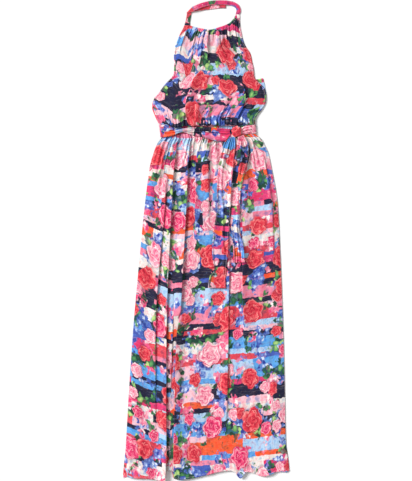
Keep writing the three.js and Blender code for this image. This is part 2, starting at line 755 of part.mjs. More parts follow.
// The right half curves over the top and lies on the left half as far as its corner.
function strapRightGrid() {
  const seam = new THREE.Vector3(1, RIGHT_STRAP_SLOPE, 0).normalize();
  const stations = stationsOf(RIGHT_STRAP, 22).map((station, i, all) => {
    const share = i / (all.length - 1);
    const onTop = smoothstep(share, 0.28, 0.42);
    const onFold = smoothstep(share, 0.72, 0.86);
    const climb = (STRAP_CLOTH + 2 * GAP) * (onTop + onFold);
    const side = station.side.lerp(seam, 1 - smoothstep(share, 0, 0.12)).normalize();
    return { ...station, side, y: station.y + GAP, z: STRAP_CLOTH / 2 + climb };
  });
  return ribbonGrid(stations, 4, (t) => ridges([STRAP_CROWN], t));
}

const printed = (color) => new THREE.MeshStandardMaterial({ color, roughness: 0.85, metalness: 0 });
const dress = new THREE.Group();

function add(name, geometry, color) {
  const mesh = new THREE.Mesh(geometry, printed(color));
  mesh.name = name;
  dress.add(mesh);
}

const CORAL = "#e0606c";
const ROSE = "#e58a9b";
const BLUE = "#6f86c8";
const NAVY = "#2b2a4a";

const skirtFront = skirtFrontGrid();
const bodiceFront = bodiceFrontGrid();
const casingFront = casingGrid(CLOTH / 2 + LAYER + FRONT_LIFT);
const waist = heightMap([skirtFront, casingFront, bodiceFront]);
const shortEnd = endGrid(SHORT_END, 22, heightMap([skirtFront]), 2);
const longEnd = endGrid(LONG_END, 26, heightMap([skirtFront, shortEnd]), 0.4);

add("skirt_back", wall(skirtBackGrid(), CLOTH), ROSE);
add("skirt_front", wall(skirtFront, CLOTH), CORAL);
add("bodice_back", wall(bodiceBackGrid(), CLOTH), ROSE);
add("bodice_front", wall(bodiceFront, CLOTH), CORAL);
add("waist_casing_back", wall(casingGrid(CLOTH / 2 + BACK_LIFT), CLOTH), BLUE);
add("waist_casing_front", wall(casingFront, CLOTH), BLUE);
add("sash_back", wall(sashBackGrid(), CLOTH), ROSE);
add("sash_left", wall(sashLeftGrid(waist), CLOTH), ROSE);
add("sash_right", wall(sashRightGrid(waist), CLOTH), ROSE);
add("sash_knot", knotGeometry(waist(KNOT.x, KNOT.y) + 3 * GAP), CORAL);
add("sash_end_short", wall(shortEnd, CLOTH), NAVY);
add("sash_end_long", wall(longEnd, CLOTH), ROSE);
add("strap_left", wall(strapLeftGrid(), STRAP_CLOTH), CORAL);
add("strap_right", wall(strapRightGrid(), STRAP_CLOTH), NAVY);

export default dress;
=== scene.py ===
"""A halter-neck maxi dress of light printed georgette, laid flat with its front uppermost."""

import math

import bpy
import numpy as np
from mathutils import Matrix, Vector, noise
from mathutils.bvhtree import BVHTree


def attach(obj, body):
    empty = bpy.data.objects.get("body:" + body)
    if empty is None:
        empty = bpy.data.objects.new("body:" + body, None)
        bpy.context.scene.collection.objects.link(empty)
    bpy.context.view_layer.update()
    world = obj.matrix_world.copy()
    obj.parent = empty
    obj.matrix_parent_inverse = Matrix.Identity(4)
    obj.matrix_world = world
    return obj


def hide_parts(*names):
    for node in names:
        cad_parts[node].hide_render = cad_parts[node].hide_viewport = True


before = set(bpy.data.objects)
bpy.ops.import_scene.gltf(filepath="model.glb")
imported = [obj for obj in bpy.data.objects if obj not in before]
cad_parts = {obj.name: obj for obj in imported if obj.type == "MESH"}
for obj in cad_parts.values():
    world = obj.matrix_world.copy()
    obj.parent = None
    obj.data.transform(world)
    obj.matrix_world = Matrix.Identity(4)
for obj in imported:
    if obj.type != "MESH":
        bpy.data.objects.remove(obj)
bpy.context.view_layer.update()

# Sizes below are in millimetres, and meshes are made in metres.
MM = 0.001

# Camera: straight above, as the photograph was taken. The frame is 412 by 481 pixels.
LENS = 85
SENSOR = 36
FRAME_HEIGHT = 1.503
CAMERA_HEIGHT = FRAME_HEIGHT * LENS / SENSOR

# The floor's half width, in metres, which keeps its edges out of every view, and how far it lies
# under the dress
FLOOR = 20
FLOOR_DROP = 0.0005
# The strength of the pale room around
ROOM_LIGHT = 0.33

# Cloth: its thickness, that of a turned hem, the hem's width, and the gap at a seam
CLOTH = 0.6
HEM_CLOTH = 1.7
HEM_WIDTH = 4.6
GAP = 0.3

# Places along the dress
WAIST_Y = 333
CASING_HEIGHT = 28
BODICE_Y = WAIST_Y + CASING_HEIGHT
SKIRT_LENGTH = 1070

# Heights of the layers: the lower panel, the upper panel, and how the waist lifts both
BACK_LEVEL = CLOTH / 2
FRONT_LEVEL = 2.0
BACK_LIFT = 1.5
FRONT_LIFT = 2.3
LIFT_ENDS = (6, 60)

# Flat widths of the panels, before they were gathered
SKIRT_FLAT = 740
SKIRT_FLAT_WAIST = 600
BODICE_FLAT = 470
BACK_FLAT = 640

# Where on the printed cloth each piece was cut, in millimetres across it and up it
CUT_AT = {
    "skirt_front": (0, 0),
    "skirt_back": (900, -230),
    "bodice_front": (1730, 400),
    "bodice_back": (2600, 90),
    "waist_casing_front": (4000, 0),
    "waist_casing_back": (4700, 0),
    "sash_back": (4200, 500),
    "sash_left": (4935, 326),
    "sash_right": (4918, 940),
    "sash_knot": (4566, 482),
    "sash_end_long": (4803, 181),
    "sash_end_short": (4616, 455),
    "strap_left": (4998, 442),
    "strap_right": (4610, 1040),
}

# Fine gathers: how many lie across a piece, how high they stand, and the shortest and longest way
# that they run from their seam
SKIRT_GATHERS = {"count": 38, "height": 4.8, "shortest": 30, "longest": 230, "seed": 1.7}
BACK_SKIRT_GATHERS = {"count": 44, "height": 0.7, "shortest": 90, "longest": 200, "seed": 4.1}
WAIST_GATHERS = {"count": 30, "height": 5.0, "shortest": 22, "longest": 90, "seed": 0.6}
NECK_GATHERS = {"count": 26, "height": 4.4, "shortest": 26, "longest": 140, "seed": 2.9}
BACK_BODICE_GATHERS = {"count": 40, "height": 0.7, "shortest": 60, "longest": 130, "seed": 6.3}
CASING_GATHERS = {"count": 46, "height": 2.25, "shortest": 100, "longest": 200}
# The back panels and the casings have gathers of one even depth, taken this far from a seam.
EVEN_AT = 20


def table(columns, *rows):
    """Rows of values, each under the name of its column. A row may leave out its last columns."""
    return [dict(zip(columns.split(), row)) for row in rows]


# The skirt's sides, by the way down from the waist seam
SKIRT_SIDES = table(
    "down left right",
    (0, -139, 153),
    (16, -140, 172),
    (24, -147.5, 176.5),
    (36, -154.5, 183),
    (55, -162, 193),
    (95, -174, 202),
    (205, -189, 222),
    (360, -205, 231),
    (580, -225, 240),
    (810, -241, 246),
    (985, -251, 250),
    (1035, -256, 257),
    (SKIRT_LENGTH, -259, 260),
)

# How far below the waist seam the hem hangs, by share of the width
FRONT_HEM = table(
    "across down",
    (0, 1065), (0.05, 1074), (0.15, 1076), (0.235, 1083), (0.254, 1082), (0.266, 1054),
    (0.292, 1053), (0.303, 1074), (0.38, 1077), (0.5, 1065), (0.6, 1053), (0.665, 1054),
    (0.705, 1075), (0.745, 1055), (0.845, 1069), (0.93, 1055), (0.985, 1056), (1, 1053),
)
BACK_HEM = table(
    "across down",
    (0, 1076), (0.06, 1066), (0.3, 1046), (0.7, 1044), (1, 1040),
)

# The skirt's folds, left to right. waist, middle and hem are where the fold runs, as shares of
# the width. hidden is the cloth that it takes in, and slip how far its two sides have slid
# along each other. side is 1 where the left part lies on the right, -1 where the right does.
# from and to are in millimetres down from the waist, and fall is how quickly a fold ends, where
# it doesn't fade out over its lower part.
SKIRT_FOLDS = table(
    "waist middle hem from to hidden height side slip fall",
    (0.095, 0.08, 0.08, 0, 260, 10, 5, 0, 4),
    (0.125, 0.118, 0.13, 0, 300, 18, 7, -1, 14),
    (0.158, 0.142, 0.206, 110, 1030, 18, 6.5, 1, 7),
    (0.172, 0.2, 0.246, 0, 1300, 44, 7.5, 1, -17),
    (0.235, 0.262, 0.279, 420, 960, 14, 4, 1, 5),
    (0.296, 0.298, 0.3, 0, 582, 30, 7.5, 1, 6, 30),
    (0.306, 0.31, 0.318, 540, 1300, 40, 7.5, -1, 15),
    (0.338, 0.342, 0.35, 0, 160, 8, 4, 0, 0),
    (0.38, 0.385, 0.39, 0, 430, 24, 7.5, -1, -9),
    (0.43, 0.43, 0.44, 0, 240, 10, 5, -1, 5),
    (0.49, 0.485, 0.5, 0, 360, 12, 6, 1, 4),
    (0.55, 0.54, 0.55, 0, 190, 6, 3, 0, 0),
    (0.605, 0.6, 0.6, 0, 200, 6, 3, 0, 0),
    (0.65, 0.635, 0.63, 330, 1040, 18, 5.5, 1, 10),
    (0.7, 0.69, 0.705, 0, 150, 6, 3.5, 0, 0),
    (0.745, 0.735, 0.755, 0, 780, 30, 7.5, -1, -13),
    (0.8, 0.8, 0.81, 0, 270, 14, 5, 1, 6),
    (0.86, 0.86, 0.85, 0, 210, 8, 4.5, 0, 0),
    (0.915, 0.915, 0.915, 700, 1040, 8, 3.5, -1, 3),
    (0.955, 0.962, 0.965, 20, 560, 12, 4, 1, 6),
)

# How far the print's stripes are dragged along the skirt, by share of the width
SKIRT_SKEW = table(
    "across drag",
    (0, 34), (0.12, 14), (0.24, 0), (0.4, 9), (0.6, 13), (1, 20),
)

# The front bodice's sides, by height, and its neckline, by share of the width
BODICE_SIDES = table(
    "y left right",
    (361, -145, 153),
    (379, -153, 153.5),
    (392, -158, 160),
    (411, -164, 175.5),
    (430, -165, 186),
    (445, -160, 188),
    (460, -148, 187),
    (478, -135, 181),
    (492, -124, 166),
    (505, -111, 153),
    (518, -102, 150),
    (535, -100, 149),
    (560, -100, 144),
    (585, -100, 138),
    (605, -97, 125),
    (620, -91, 118),
    (643, -82, 112),
    (672, -68, 107),
    (706, -66, 105),
)
NECKLINE = table(
    "across y",
    (0, 672), (0.11, 671), (0.22, 666), (0.345, 661), (0.455, 658), (0.545, 661), (0.65, 667),
    (0.75, 674), (0.82, 681), (0.89, 693), (0.935, 705), (1, 706),
)

# The bodice's folds. from and to are in millimetres up from the waist, along the cloth.
BODICE_FOLDS = table(
    "waist middle hem from to hidden height side slip",
    (0.07, 0.07, 0.09, 0, 70, 6, 3, 0, 0),
    (0.15, 0.14, 0.165, 0, 95, 12, 5, -1, 4),
    (0.24, 0.2, 0.24, 0, 60, 8, 4, 0, 0),
    (0.31, 0.27, 0.32, 0, 200, 24, 7, -1, -10),
    (0.39, 0.36, 0.385, 0, 100, 10, 4.5, -1, 3),
    (0.455, 0.44, 0.455, 205, 700, 16, 5, 1, 6),
    (0.515, 0.52, 0.515, 0, 70, 8, 4, 0, 0),
    (0.575, 0.6, 0.575, 225, 700, 12, 4.5, -1, -4),
    (0.65, 0.67, 0.66, 0, 100, 10, 4.5, 1, 3),
    (0.73, 0.74, 0.745, 0, 85, 8, 4, 0, 0),
    (0.82, 0.8, 0.82, 0, 175, 26, 7.5, 1, 12),
    (0.91, 0.9, 0.91, 0, 90, 9, 4.5, 1, 0),
)
# The front bodice: where its neckline stands and how high that is over the waist casing, its
# length along the cloth and up to the seam under the neck casing, that casing's height, how much
# longer the cloth is than its rise, and the width of its side hems
BODICE_TOP = 664
BODICE_RISE = 300
BODICE_LENGTH = 310
NECK_SEAM = 306
NECK_CASING = 11
CLOTH_EASE = 1.02
SIDE_HEM = 4.5
BLOUSON = {"height": 6, "y": 425, "reach": 85, "squareness": 0.6, "overhang": 11}
# On the left the bloused cloth bags down over the sash.
BAG = {"x": -93, "reach": 42, "drop": 15, "height": 5.5}
# The bodice's cut: its width at heights above the waist, along the cloth
BODICE_CUT = table(
    "up width",
    (0, 470), (60, 460), (125, 370), (165, 330), (310, 290),
)
# The back bodice's sides, by height, and the ends of its straight top edge
BACK_BODICE_SIDES = table(
    "y left right",
    (361, -145, 152.5),
    (379, -155, 153),
    (395, -162, 161),
    (412, -168, 175),
    (430, -167, 186),
    (445, -161.5, 188),
    (458, -154, 188),
    (486, -150, 184),
    (507, -145, 178),
)
BACK_TOP = {"leftX": -158, "leftY": 451, "rightX": 178, "rightY": 507}
# Over the back's top edge the front sinks to the surface, from and to this far above it.
STEP_DOWN = (20, 60)
CASING_SIDES = {"leftBottom": -141, "leftTop": -144, "right": 153}
# The back casing lies this much lower than the back panels' tops.
CASING_DROP = 0.6

# How many rows of points each stretch of the sash has
SASH_ROWS = {"back": 60, "left": 110, "right": 30, "long": 150, "short": 130}
# The sash's centre line and width, stretch by stretch
SASH_BACK = {"y": 346, "width": 27, "left": -141.5, "right": 156}
SASH_LEFT = table(
    "x y width",
    (-136, 341.5, 38),
    (-122, 341.5, 38),
    (-105, 342.5, 33),
    (-90, 344, 22),
    (-77, 344, 14),
    (-66, 343.5, 13),
    (-52, 342, 21),
    (-36, 340.5, 28),
    (-15, 339, 30),
    (20, 337.5, 30),
    (55, 336, 26),
    (84, 338, 18),
)
SASH_RIGHT = table(
    "x y width",
    (105, 340, 18),
    (122, 343.5, 25),
    (134, 346, 26),
    (146.5, 346.5, 26),
)
# The sash's steps out and down round the waist's edge
WRAP = table(
    "out drop",
    (6.5, 0.6), (9.3, 2.6), (10, 4.8),
)
KNOT = {"x": 95, "y": 339, "width": 30, "height": 33, "depth": 11}
KNOT_RISE = 2
LONG_END = table(
    "x y width",
    (82, 326, 18),
    (76, 305, 34),
    (71, 280, 42),
    (63, 235, 45),
    (58, 190, 45),
    (56, 145, 44),
    (56, 100, 43),
    (51, 55, 46),
    (46, 10, 49),
    (44, -35, 50),
    (44, -64, 45),
    (45, -84, 38),
    (44, -102, 40),
    (37, -117, 50),
    (34.5, -132, 54),
    (34, -148.5, 55),
)
SHORT_END = table(
    "x y width",
    (108, 326, 18),
    (115, 300, 36),
    (115, 275, 44),
    (108, 240, 42),
    (99, 205, 38),
    (93, 165, 33),
    (90.5, 115, 30),
    (91, 66, 28),
    (92.5, 34, 26),
    (97.5, 2, 29),
    (101.5, -30, 33),
    (103, -69, 34),
)

# The neck strap
STRAP_CLOTH = 1.6
STRAP_WIDTH = 14
STRAP_GAP = 0.2
STRAP_COLUMNS = 15
STRAP_ROWS = {"rise": 22, "turn": 9, "top": 46, "right": 110}
LEFT_STRAP = {"baseX": -59, "baseY": 672, "baseWidth": 17, "slope": -0.06, "foldX": -51, "foldY": 719}
LEFT_STRAP_TOP = table(
    "x y",
    (-30, 723.5), (-10, 726), (10, 728.5), (30, 731), (48, 732.5), (62, 732.5),
)
RIGHT_STRAP_SLOPE = 0.1
RIGHT_STRAP = table(
    "x y",
    (99, 706.2), (101.5, 714), (101.5, 722), (97, 731), (87, 737.5), (72, 741.3), (52, 742.7),
    (26, 742.2), (4, 739), (-15, 733), (-31, 726.5), (-41, 722),
)


# Shapes of curves


def clamp01(x):
    return np.clip(x, 0.0, 1.0)


def smooth(x, low, high):
    """Rises from 0 at low to 1 at high, level at both ends."""
    t = clamp01((x - low) / (high - low))
    return t * t * (3 - 2 * t)


def bump(x):
    """A round hump, 1 at 0 and 0 beyond -1 and 1."""
    return np.where(np.abs(x) < 1, np.cos(np.clip(x, -1, 1) * math.pi / 2) ** 2, 0.0)


def mix(a, b, t):
    return a + (b - a) * t


def along(rows, at, column):
    """A column of a table, on a smooth curve over the table's first column."""
    places = np.array([next(iter(row.values())) for row in rows], float)
    values = np.array([row[column] for row in rows], float)
    slopes = np.empty_like(values)
    slopes[1:-1] = (values[2:] - values[:-2]) / (places[2:] - places[:-2])
    slopes[0] = (values[1] - values[0]) / (places[1] - places[0])
    slopes[-1] = (values[-1] - values[-2]) / (places[-1] - places[-2])
    at = np.asarray(at, float)
    i = np.clip(np.searchsorted(places, at) - 1, 0, len(places) - 2)
    step = places[i + 1] - places[i]
    t = clamp01((at - places[i]) / step)
    h = t * t * (3 - 2 * t)
    bend = t * (1 - t) * ((1 - t) * slopes[i] - t * slopes[i + 1]) * step
    return mix(values[i], values[i + 1], h) + bend


def sides(rows, at):
    return along(rows, at, "left"), along(rows, at, "right")


NOISE_GAIN = 1.6


def ripple(x, y, seed):
    """Smooth uneven waves from -1 to 1, the same on each run."""
    x, y = np.broadcast_arrays(x, y)
    waves = [noise.noise(Vector((a, b, seed))) for a, b in zip(x.ravel(), y.ravel())]
    return np.reshape(waves, x.shape) * NOISE_GAIN


# Cloth


def placed(name, data, place=(0, 0, 0)):
    """A new object in the scene, at a place in metres."""
    made = bpy.data.objects.new(name, data)
    made.location = place
    bpy.context.scene.collection.objects.link(made)
    return made


def cloth_piece(name, points, faces, print_at, material):
    """A smooth piece of cloth. print_at is where each point lies on the printed cloth."""
    mesh = bpy.data.meshes.new(name)
    mesh.from_pydata((points * MM).tolist(), [], faces)
    corners = [corner for face in faces for corner in face]
    mesh.uv_layers.new(name="cloth").data.foreach_set("uv", (print_at * MM)[corners].ravel())
    mesh.polygons.foreach_set("use_smooth", [True] * len(faces))
    mesh.materials.append(material)
    mesh.update()
    return placed(name, mesh)


def wall_mesh(name, grid, uv, thickness, material, bottom_flat=False):
    """A closed wall round a grid of middle points, with its places on the printed cloth.

    Rows follow each other so that the outer side is on the left of a row that runs right.
    """
    rows, columns, _ = grid.shape
    normal = np.cross(np.gradient(grid, axis=1), np.gradient(grid, axis=0))
    normal /= np.linalg.norm(normal, axis=2, keepdims=True) + 1e-12
    half = np.broadcast_to(np.asarray(thickness, float) / 2, (rows, columns))[..., None]
    outer = grid + normal * half
    inner = grid - normal * half
    if bottom_flat:
        inner[..., 2] = np.maximum(inner[..., 2], 0)
    points = np.concatenate([outer.reshape(-1, 3), inner.reshape(-1, 3)])
    top = np.arange(rows * columns).reshape(rows, columns)
    under = top + rows * columns

    def quads(a, b, c, d):
        return np.stack([a.ravel(), b.ravel(), c.ravel(), d.ravel()], axis=1)

    faces = np.concatenate(
        [
            quads(top[:-1, :-1], top[:-1, 1:], top[1:, 1:], top[1:, :-1]),
            quads(under[:-1, :-1], under[1:, :-1], under[1:, 1:], under[:-1, 1:]),
            quads(top[:-1, 0], top[1:, 0], under[1:, 0], under[:-1, 0]),
            quads(top[:-1, -1], under[:-1, -1], under[1:, -1], top[1:, -1]),
            quads(top[0, :-1], under[0, :-1], under[0, 1:], top[0, 1:]),
            quads(top[-1, :-1], top[-1, 1:], under[-1, 1:], under[-1, :-1]),
        ]
    )
    print_at = np.concatenate([uv.reshape(-1, 2), uv.reshape(-1, 2)])
    return cloth_piece(name, points, faces.tolist(), print_at, material)


def lengths(grid, axis):
    """How far along the cloth each point lies from the first, along rows (0) or columns (1)."""
    steps = np.linalg.norm(np.diff(grid, axis=axis), axis=2)
    start = np.zeros_like(np.take(steps, [0], axis=axis))
    return np.concatenate([start, np.cumsum(steps, axis=axis)], axis=axis)


# Points over a fold, as shares of its half width, and points from one fold to the next
FOLD_SAMPLES = np.array([0.12, 0.26, 0.42, 0.6, 0.8, 1.0])
SPACE_SAMPLES = 9
# A fold's half width, the way over which its step dies out, and its share of the room beside it
FOLD_HALF_WIDTH = 15
FOLD_TAIL = 34
FOLD_ROOM = 0.44
# Shares of a fold's width: at least this of the cloth it hides, its step's lip, and its hump
FOLD_LEAST = 0.2
FOLD_LIP = 0.4
FOLD_ROUND = 1.3
# Shares of a fold's own length and of the panel's over which it rises and falls, and how full it
# is at the waist seam
FOLD_RISE = (0.35, 0.09)
FOLD_FALL = (0.6, 0.3)
FOLD_AT_SEAM = 0.25


def fold_line(fold, share):
    early = mix(fold["waist"], fold["middle"], share * 2)
    late = mix(fold["middle"], fold["hem"], share * 2 - 1)
    return mix(early, late, smooth(share, 0.25, 0.75))


def fullness(fold, at, span):
    """How fully a fold stands at a place between its ends."""
    length = fold["to"] - fold["from"]
    rise = min(length * FOLD_RISE[0], span * FOLD_RISE[1])
    fall = fold.get("fall", min(length * FOLD_FALL[0], span * FOLD_FALL[1]))
    least = FOLD_AT_SEAM if fold["from"] == 0 else 0
    start = mix(least, 1, smooth(at, fold["from"], fold["from"] + rise))
    return float(start * (1 - smooth(at, fold["to"] - fall, fold["to"])))


def folded_row(left, right, folds, at, share, span, edge_hem):
    """One row of a folded panel: x, height, the share across the flat cloth, and the slip.

    The cloth runs level from fold to fold. In a fold it turns back under itself by the length
    that is hidden, while it steps down (or up) from the upper side to the lower one.
    """
    width = right - left
    full = np.array([fullness(fold, at, span) for fold in folds])
    hidden = np.array([fold["hidden"] for fold in folds]) * full
    places = np.array([fold_line(fold, share) for fold in folds]) * width
    centres = places + np.cumsum(hidden) - hidden / 2
    whole = width + hidden.sum()
    ends = np.concatenate([[0], centres, [whole]])
    spaces = np.diff(ends)
    reach = np.minimum(FOLD_HALF_WIDTH, np.minimum(spaces[:-1], spaces[1:]) * FOLD_ROOM)
    reach = np.maximum(reach, hidden * FOLD_LEAST)
    run = [np.array(edge_hem)]
    for i, (low, high) in enumerate(zip(ends[:-1], ends[1:])):
        begin = low + (reach[i - 1] if i else edge_hem[-1] + 1)
        stop = high - (reach[i] if i < len(folds) else edge_hem[-1] + 1)
        run.append(np.linspace(begin, stop, SPACE_SAMPLES))
        if i < len(folds):
            around = np.concatenate([-FOLD_SAMPLES[-2::-1], [0], FOLD_SAMPLES[:-1]])
            run.append(high + around * reach[i])
    run.append(whole - np.array(edge_hem[::-1]))
    run = np.concatenate(run)
    x = run.copy()
    z = np.zeros_like(run)
    slid = np.zeros_like(run)
    for fold, centre, take, half, size in zip(folds, centres, hidden, reach, full):
        turned = smooth(run, centre - half, centre + half)
        x -= take * turned
        slid += fold["slip"] * size * (turned - 0.5)
        height = fold["height"] * size
        if fold["side"] > 0:
            z += height * smooth(run, centre - half - FOLD_TAIL, centre - FOLD_LIP * half) * (1 - turned)
        elif fold["side"] < 0:
            z += height * turned * (1 - smooth(run, centre + FOLD_LIP * half, centre + half + FOLD_TAIL))
        else:
            z += height * bump((run - centre) / (half * FOLD_ROUND))
    return left + x, z, run / whole, slid


# A well-known pair of numbers that makes an even chance of a count
CHANCE_OF = (12.9898, 43758.5453)


def gathers(flat, at, count, height, shortest, longest, seed):
    """Fine gathers that run down from a seam, each to a length of its own."""
    place = flat * count + 0.35 * np.sin(flat * 37 + seed) + 0.2 * np.sin(flat * 91 + 2 * seed)
    number = np.floor(place)
    chance = np.mod(np.sin(number * CHANCE_OF[0] + seed) * CHANCE_OF[1], 1)
    length = mix(shortest, longest, chance**2)
    rising = mix(0.55, 1, smooth(at, 0, 14))
    dying = 1 - smooth(at, length * 0.25, length)
    return height * mix(0.6, 1, chance) * np.sin(math.pi * (place - number)) ** 2 * rising * dying


def lifted(distance):
    return 1 - smooth(distance, *LIFT_ENDS)


# Creases die out over this much at a panel's sides.
EDGE_REACH = 16
# Points set in from a side edge, so that its turning shows
SKIRT_EDGE = [0, 0.8, 3.5, 8]
BODICE_EDGE = [0, 0.7, 4.2, 4.8, 8]
# Rows down the skirt, closer at the waist, and more of them where the deep fold beside the strip
# ends
FRONT_ROWS = {"count": 92, "ease": 1.25}
BACK_ROWS = {"count": 40, "ease": 1.4}
FOLD_END_ROWS = (546, 590, 4)
# How late a row down the skirt takes on the hem's own line
HEM_PULL = 6
BACK_SKIRT_COLUMNS = 225
BACK_BODICE_COLUMNS = 181
CASING_COLUMNS = 397


def inside(x, left, right, reach=EDGE_REACH):
    """0 at a panel's sides, and 1 from a reach inside them."""
    return smooth(np.minimum(x - left, right - x), 0, reach)


def hem_rows(count, ease):
    """Rows down the skirt: closer at the top, and set round the hem's turning at the end."""
    body = (np.arange(count) / (count - 1)) ** ease * (SKIRT_LENGTH - HEM_WIDTH - 2.5)
    turning = np.array([HEM_WIDTH + 0.5, HEM_WIDTH, HEM_WIDTH / 2, 0.6, 0])
    return np.concatenate([body, SKIRT_LENGTH - turning])


def skirt_front():
    rows = np.sort(np.concatenate([hem_rows(**FRONT_ROWS), np.arange(*FOLD_END_ROWS)]))
    grid, cloth = [], []
    for down in rows:
        left, right = sides(SKIRT_SIDES, down)
        share = down / SKIRT_LENGTH
        x, z, part, slid = folded_row(left, right, SKIRT_FOLDS, down, share, SKIRT_LENGTH, SKIRT_EDGE)
        flat = (part - 0.5) * mix(SKIRT_FLAT_WAIST, SKIRT_FLAT, share)
        across = (x - left) / (right - left)
        hang = along(FRONT_HEM, across, "down") - SKIRT_LENGTH
        y = WAIST_Y - down - hang * share**HEM_PULL
        inner = inside(x, left, right)
        # Gathers under the waist, slow billows, small crumples, and the waves of the hem
        z = z + gathers(part, down, **SKIRT_GATHERS) * inner
        z += 1.9 * (1 + ripple(part * 13, down / 420, 3)) * smooth(down, 20, 200) * inner
        z += 0.8 * ripple(part * 34, down / 130, 8) * smooth(down, 30, 120) * inner
        z += 2.6 * (1 + ripple(part * 11 + 5, 0.4, 5)) * share**9 * inner
        z += FRONT_LEVEL + FRONT_LIFT * lifted(down) - 0.4 * (1 - inside(x, left, right, 7))
        drag = along(SKIRT_SKEW, across, "drag") * smooth(share, 0, 0.3)
        grid.append(np.stack([x, y, z], axis=1))
        cloth.append(np.stack([flat, slid + drag], axis=1))
    grid, cloth = np.array(grid), np.array(cloth)
    cloth[..., 1] = -(lengths(grid, 0) + cloth[..., 1])
    from_hem = SKIRT_LENGTH - rows
    turned = (from_hem <= HEM_WIDTH + 0.01) & (from_hem > 0.3)
    thickness = np.where(turned, HEM_CLOTH, CLOTH)[:, None]
    return grid[::-1], cloth[::-1], np.broadcast_to(thickness, grid.shape[:2])[::-1]


def skirt_back():
    across = np.linspace(0, 1, BACK_SKIRT_COLUMNS)
    grid, cloth = [], []
    for down in hem_rows(**BACK_ROWS):
        left, right = sides(SKIRT_SIDES, down)
        hang = along(BACK_HEM, across, "down") - SKIRT_LENGTH
        x = mix(left, right, across)
        y = WAIST_Y - down - hang * (down / SKIRT_LENGTH) ** HEM_PULL
        z = BACK_LEVEL + lifted(down) * (BACK_LIFT + gathers(across, EVEN_AT, **BACK_SKIRT_GATHERS))
        grid.append(np.stack([x, y, z], axis=1))
        cloth.append(np.stack([across * BACK_FLAT, 0 * across], axis=1))
    grid, cloth = np.array(grid), np.array(cloth)
    cloth[..., 1] = -lengths(grid, 0)
    return grid[::-1], cloth[::-1], np.full(grid.shape[:2], CLOTH)


def back_top(x):
    run = (x - BACK_TOP["leftX"]) / (BACK_TOP["rightX"] - BACK_TOP["leftX"])
    return mix(BACK_TOP["leftY"], BACK_TOP["rightY"], run)


def bodice_front():
    base = BODICE_Y + GAP
    # Rows up the bodice, closer in the blousing over the waist, below the neck casing and in it
    casing = 1 - NECK_CASING / BODICE_RISE
    rows = np.concatenate([np.linspace(0, 0.14, 12)[:-1], np.linspace(0.14, 0.8, 34)[:-1]])
    rows = np.concatenate([rows, np.linspace(0.8, casing - 0.004, 12), [casing, casing + 0.002]])
    rows = np.concatenate([rows, np.linspace(casing + 0.012, 0.997, 5), [1]])
    grid, cloth, thick = [], [], []
    for share in rows:
        middle = mix(base, BODICE_TOP, share)
        left, right = sides(BODICE_SIDES, middle)
        up = (middle - base) * CLOTH_EASE
        x, z, part, slid = folded_row(left, right, BODICE_FOLDS, up, share, BODICE_LENGTH, BODICE_EDGE)
        across = clamp01((x - left) / (right - left))
        y = mix(base, along(NECKLINE, across, "y"), share)
        # The sides follow each point's own height.
        own_left, own_right = sides(BODICE_SIDES, y)
        x = mix(own_left, own_right, (x - left) / (right - left))
        flat = (part - 0.5) * along(BODICE_CUT, up, "width")
        from_side = np.minimum(x - own_left, own_right - x)
        inner = inside(x, own_left, own_right)
        # Gathers over the waist and under the neck, slow billows and small crumples
        z = z + gathers(part, up, **WAIST_GATHERS) * inner
        below = NECK_SEAM - up
        z += gathers(part, below, **NECK_GATHERS) * inner * smooth(below, -8, 16)
        z += 1.3 * (1 + ripple(part * 9, y / 120, 13)) * smooth(up, 10, 60) * inner
        z += 0.7 * ripple(part * 26, y / 45, 4) * inner
        # The cloth blouses over the casing, and bags lowest on the left.
        full = np.sin(math.pi * np.clip(across, 0.001, 0.999)) ** BLOUSON["squareness"]
        z += BLOUSON["height"] * full * bump((y - BLOUSON["y"]) / BLOUSON["reach"])
        uneven = 1 + 0.75 * ripple(part * 8, 0.0, 21) + 0.3 * ripple(part * 26, 0.0, 33)
        bagged = bump((x - BAG["x"]) / BAG["reach"])
        y = y - BLOUSON["overhang"] * bump((up - 8) / 13) * full * uneven
        y = y - BAG["drop"] * bagged * bump((up - 13) / 16)
        z += 5.2 * smooth(up, 0, 5) * (1 - smooth(up, 7, 20)) * full
        z += BAG["height"] * bagged * smooth(up, 0, 7) * (1 - smooth(up, 16, 60))
        over = 1 - smooth(y, back_top(x) + STEP_DOWN[0], back_top(x) + STEP_DOWN[1])
        level = mix(HEM_CLOTH / 2, FRONT_LEVEL, over) + FRONT_LIFT * lifted(up)
        z = np.maximum(z + level, level)
        grid.append(np.stack([x, y, z], axis=1))
        cloth.append(np.stack([flat, slid], axis=1))
        hemmed = ((from_side < SIDE_HEM) & (from_side > 0.3)) | ((share >= casing) & (share < 1))
        thick.append(np.where(hemmed, HEM_CLOTH, CLOTH))
    grid, cloth = np.array(grid), np.array(cloth)
    cloth[..., 1] += lengths(grid, 0)
    return grid, cloth, np.array(thick)


def bodice_back():
    base = BODICE_Y + GAP
    across = np.linspace(0, 1, BACK_BODICE_COLUMNS)
    top = mix(BACK_TOP["leftY"], BACK_TOP["rightY"], across)
    # The last rows lie round the turning at the top edge.
    rows = np.concatenate([np.linspace(0, 1, 26)[:-2], [0.955, 0.96, 0.99, 1]])
    grid, cloth = [], []
    for share in rows:
        y = mix(base, top, share)
        left, right = sides(BACK_BODICE_SIDES, y)
        up = y - base
        z = BACK_LEVEL + lifted(up) * (BACK_LIFT + gathers(across, EVEN_AT, **BACK_BODICE_GATHERS))
        grid.append(np.stack([mix(left, right, across), y, z], axis=1))
        cloth.append(np.stack([across * BODICE_FLAT, up], axis=1))
    grid = np.array(grid)
    thickness = np.where((rows > 0.957) & (rows < 1), HEM_CLOTH, CLOTH)[:, None]
    grid[..., 2] += (thickness - CLOTH) / 2
    return grid, np.array(cloth), np.broadcast_to(thickness, grid.shape[:2])


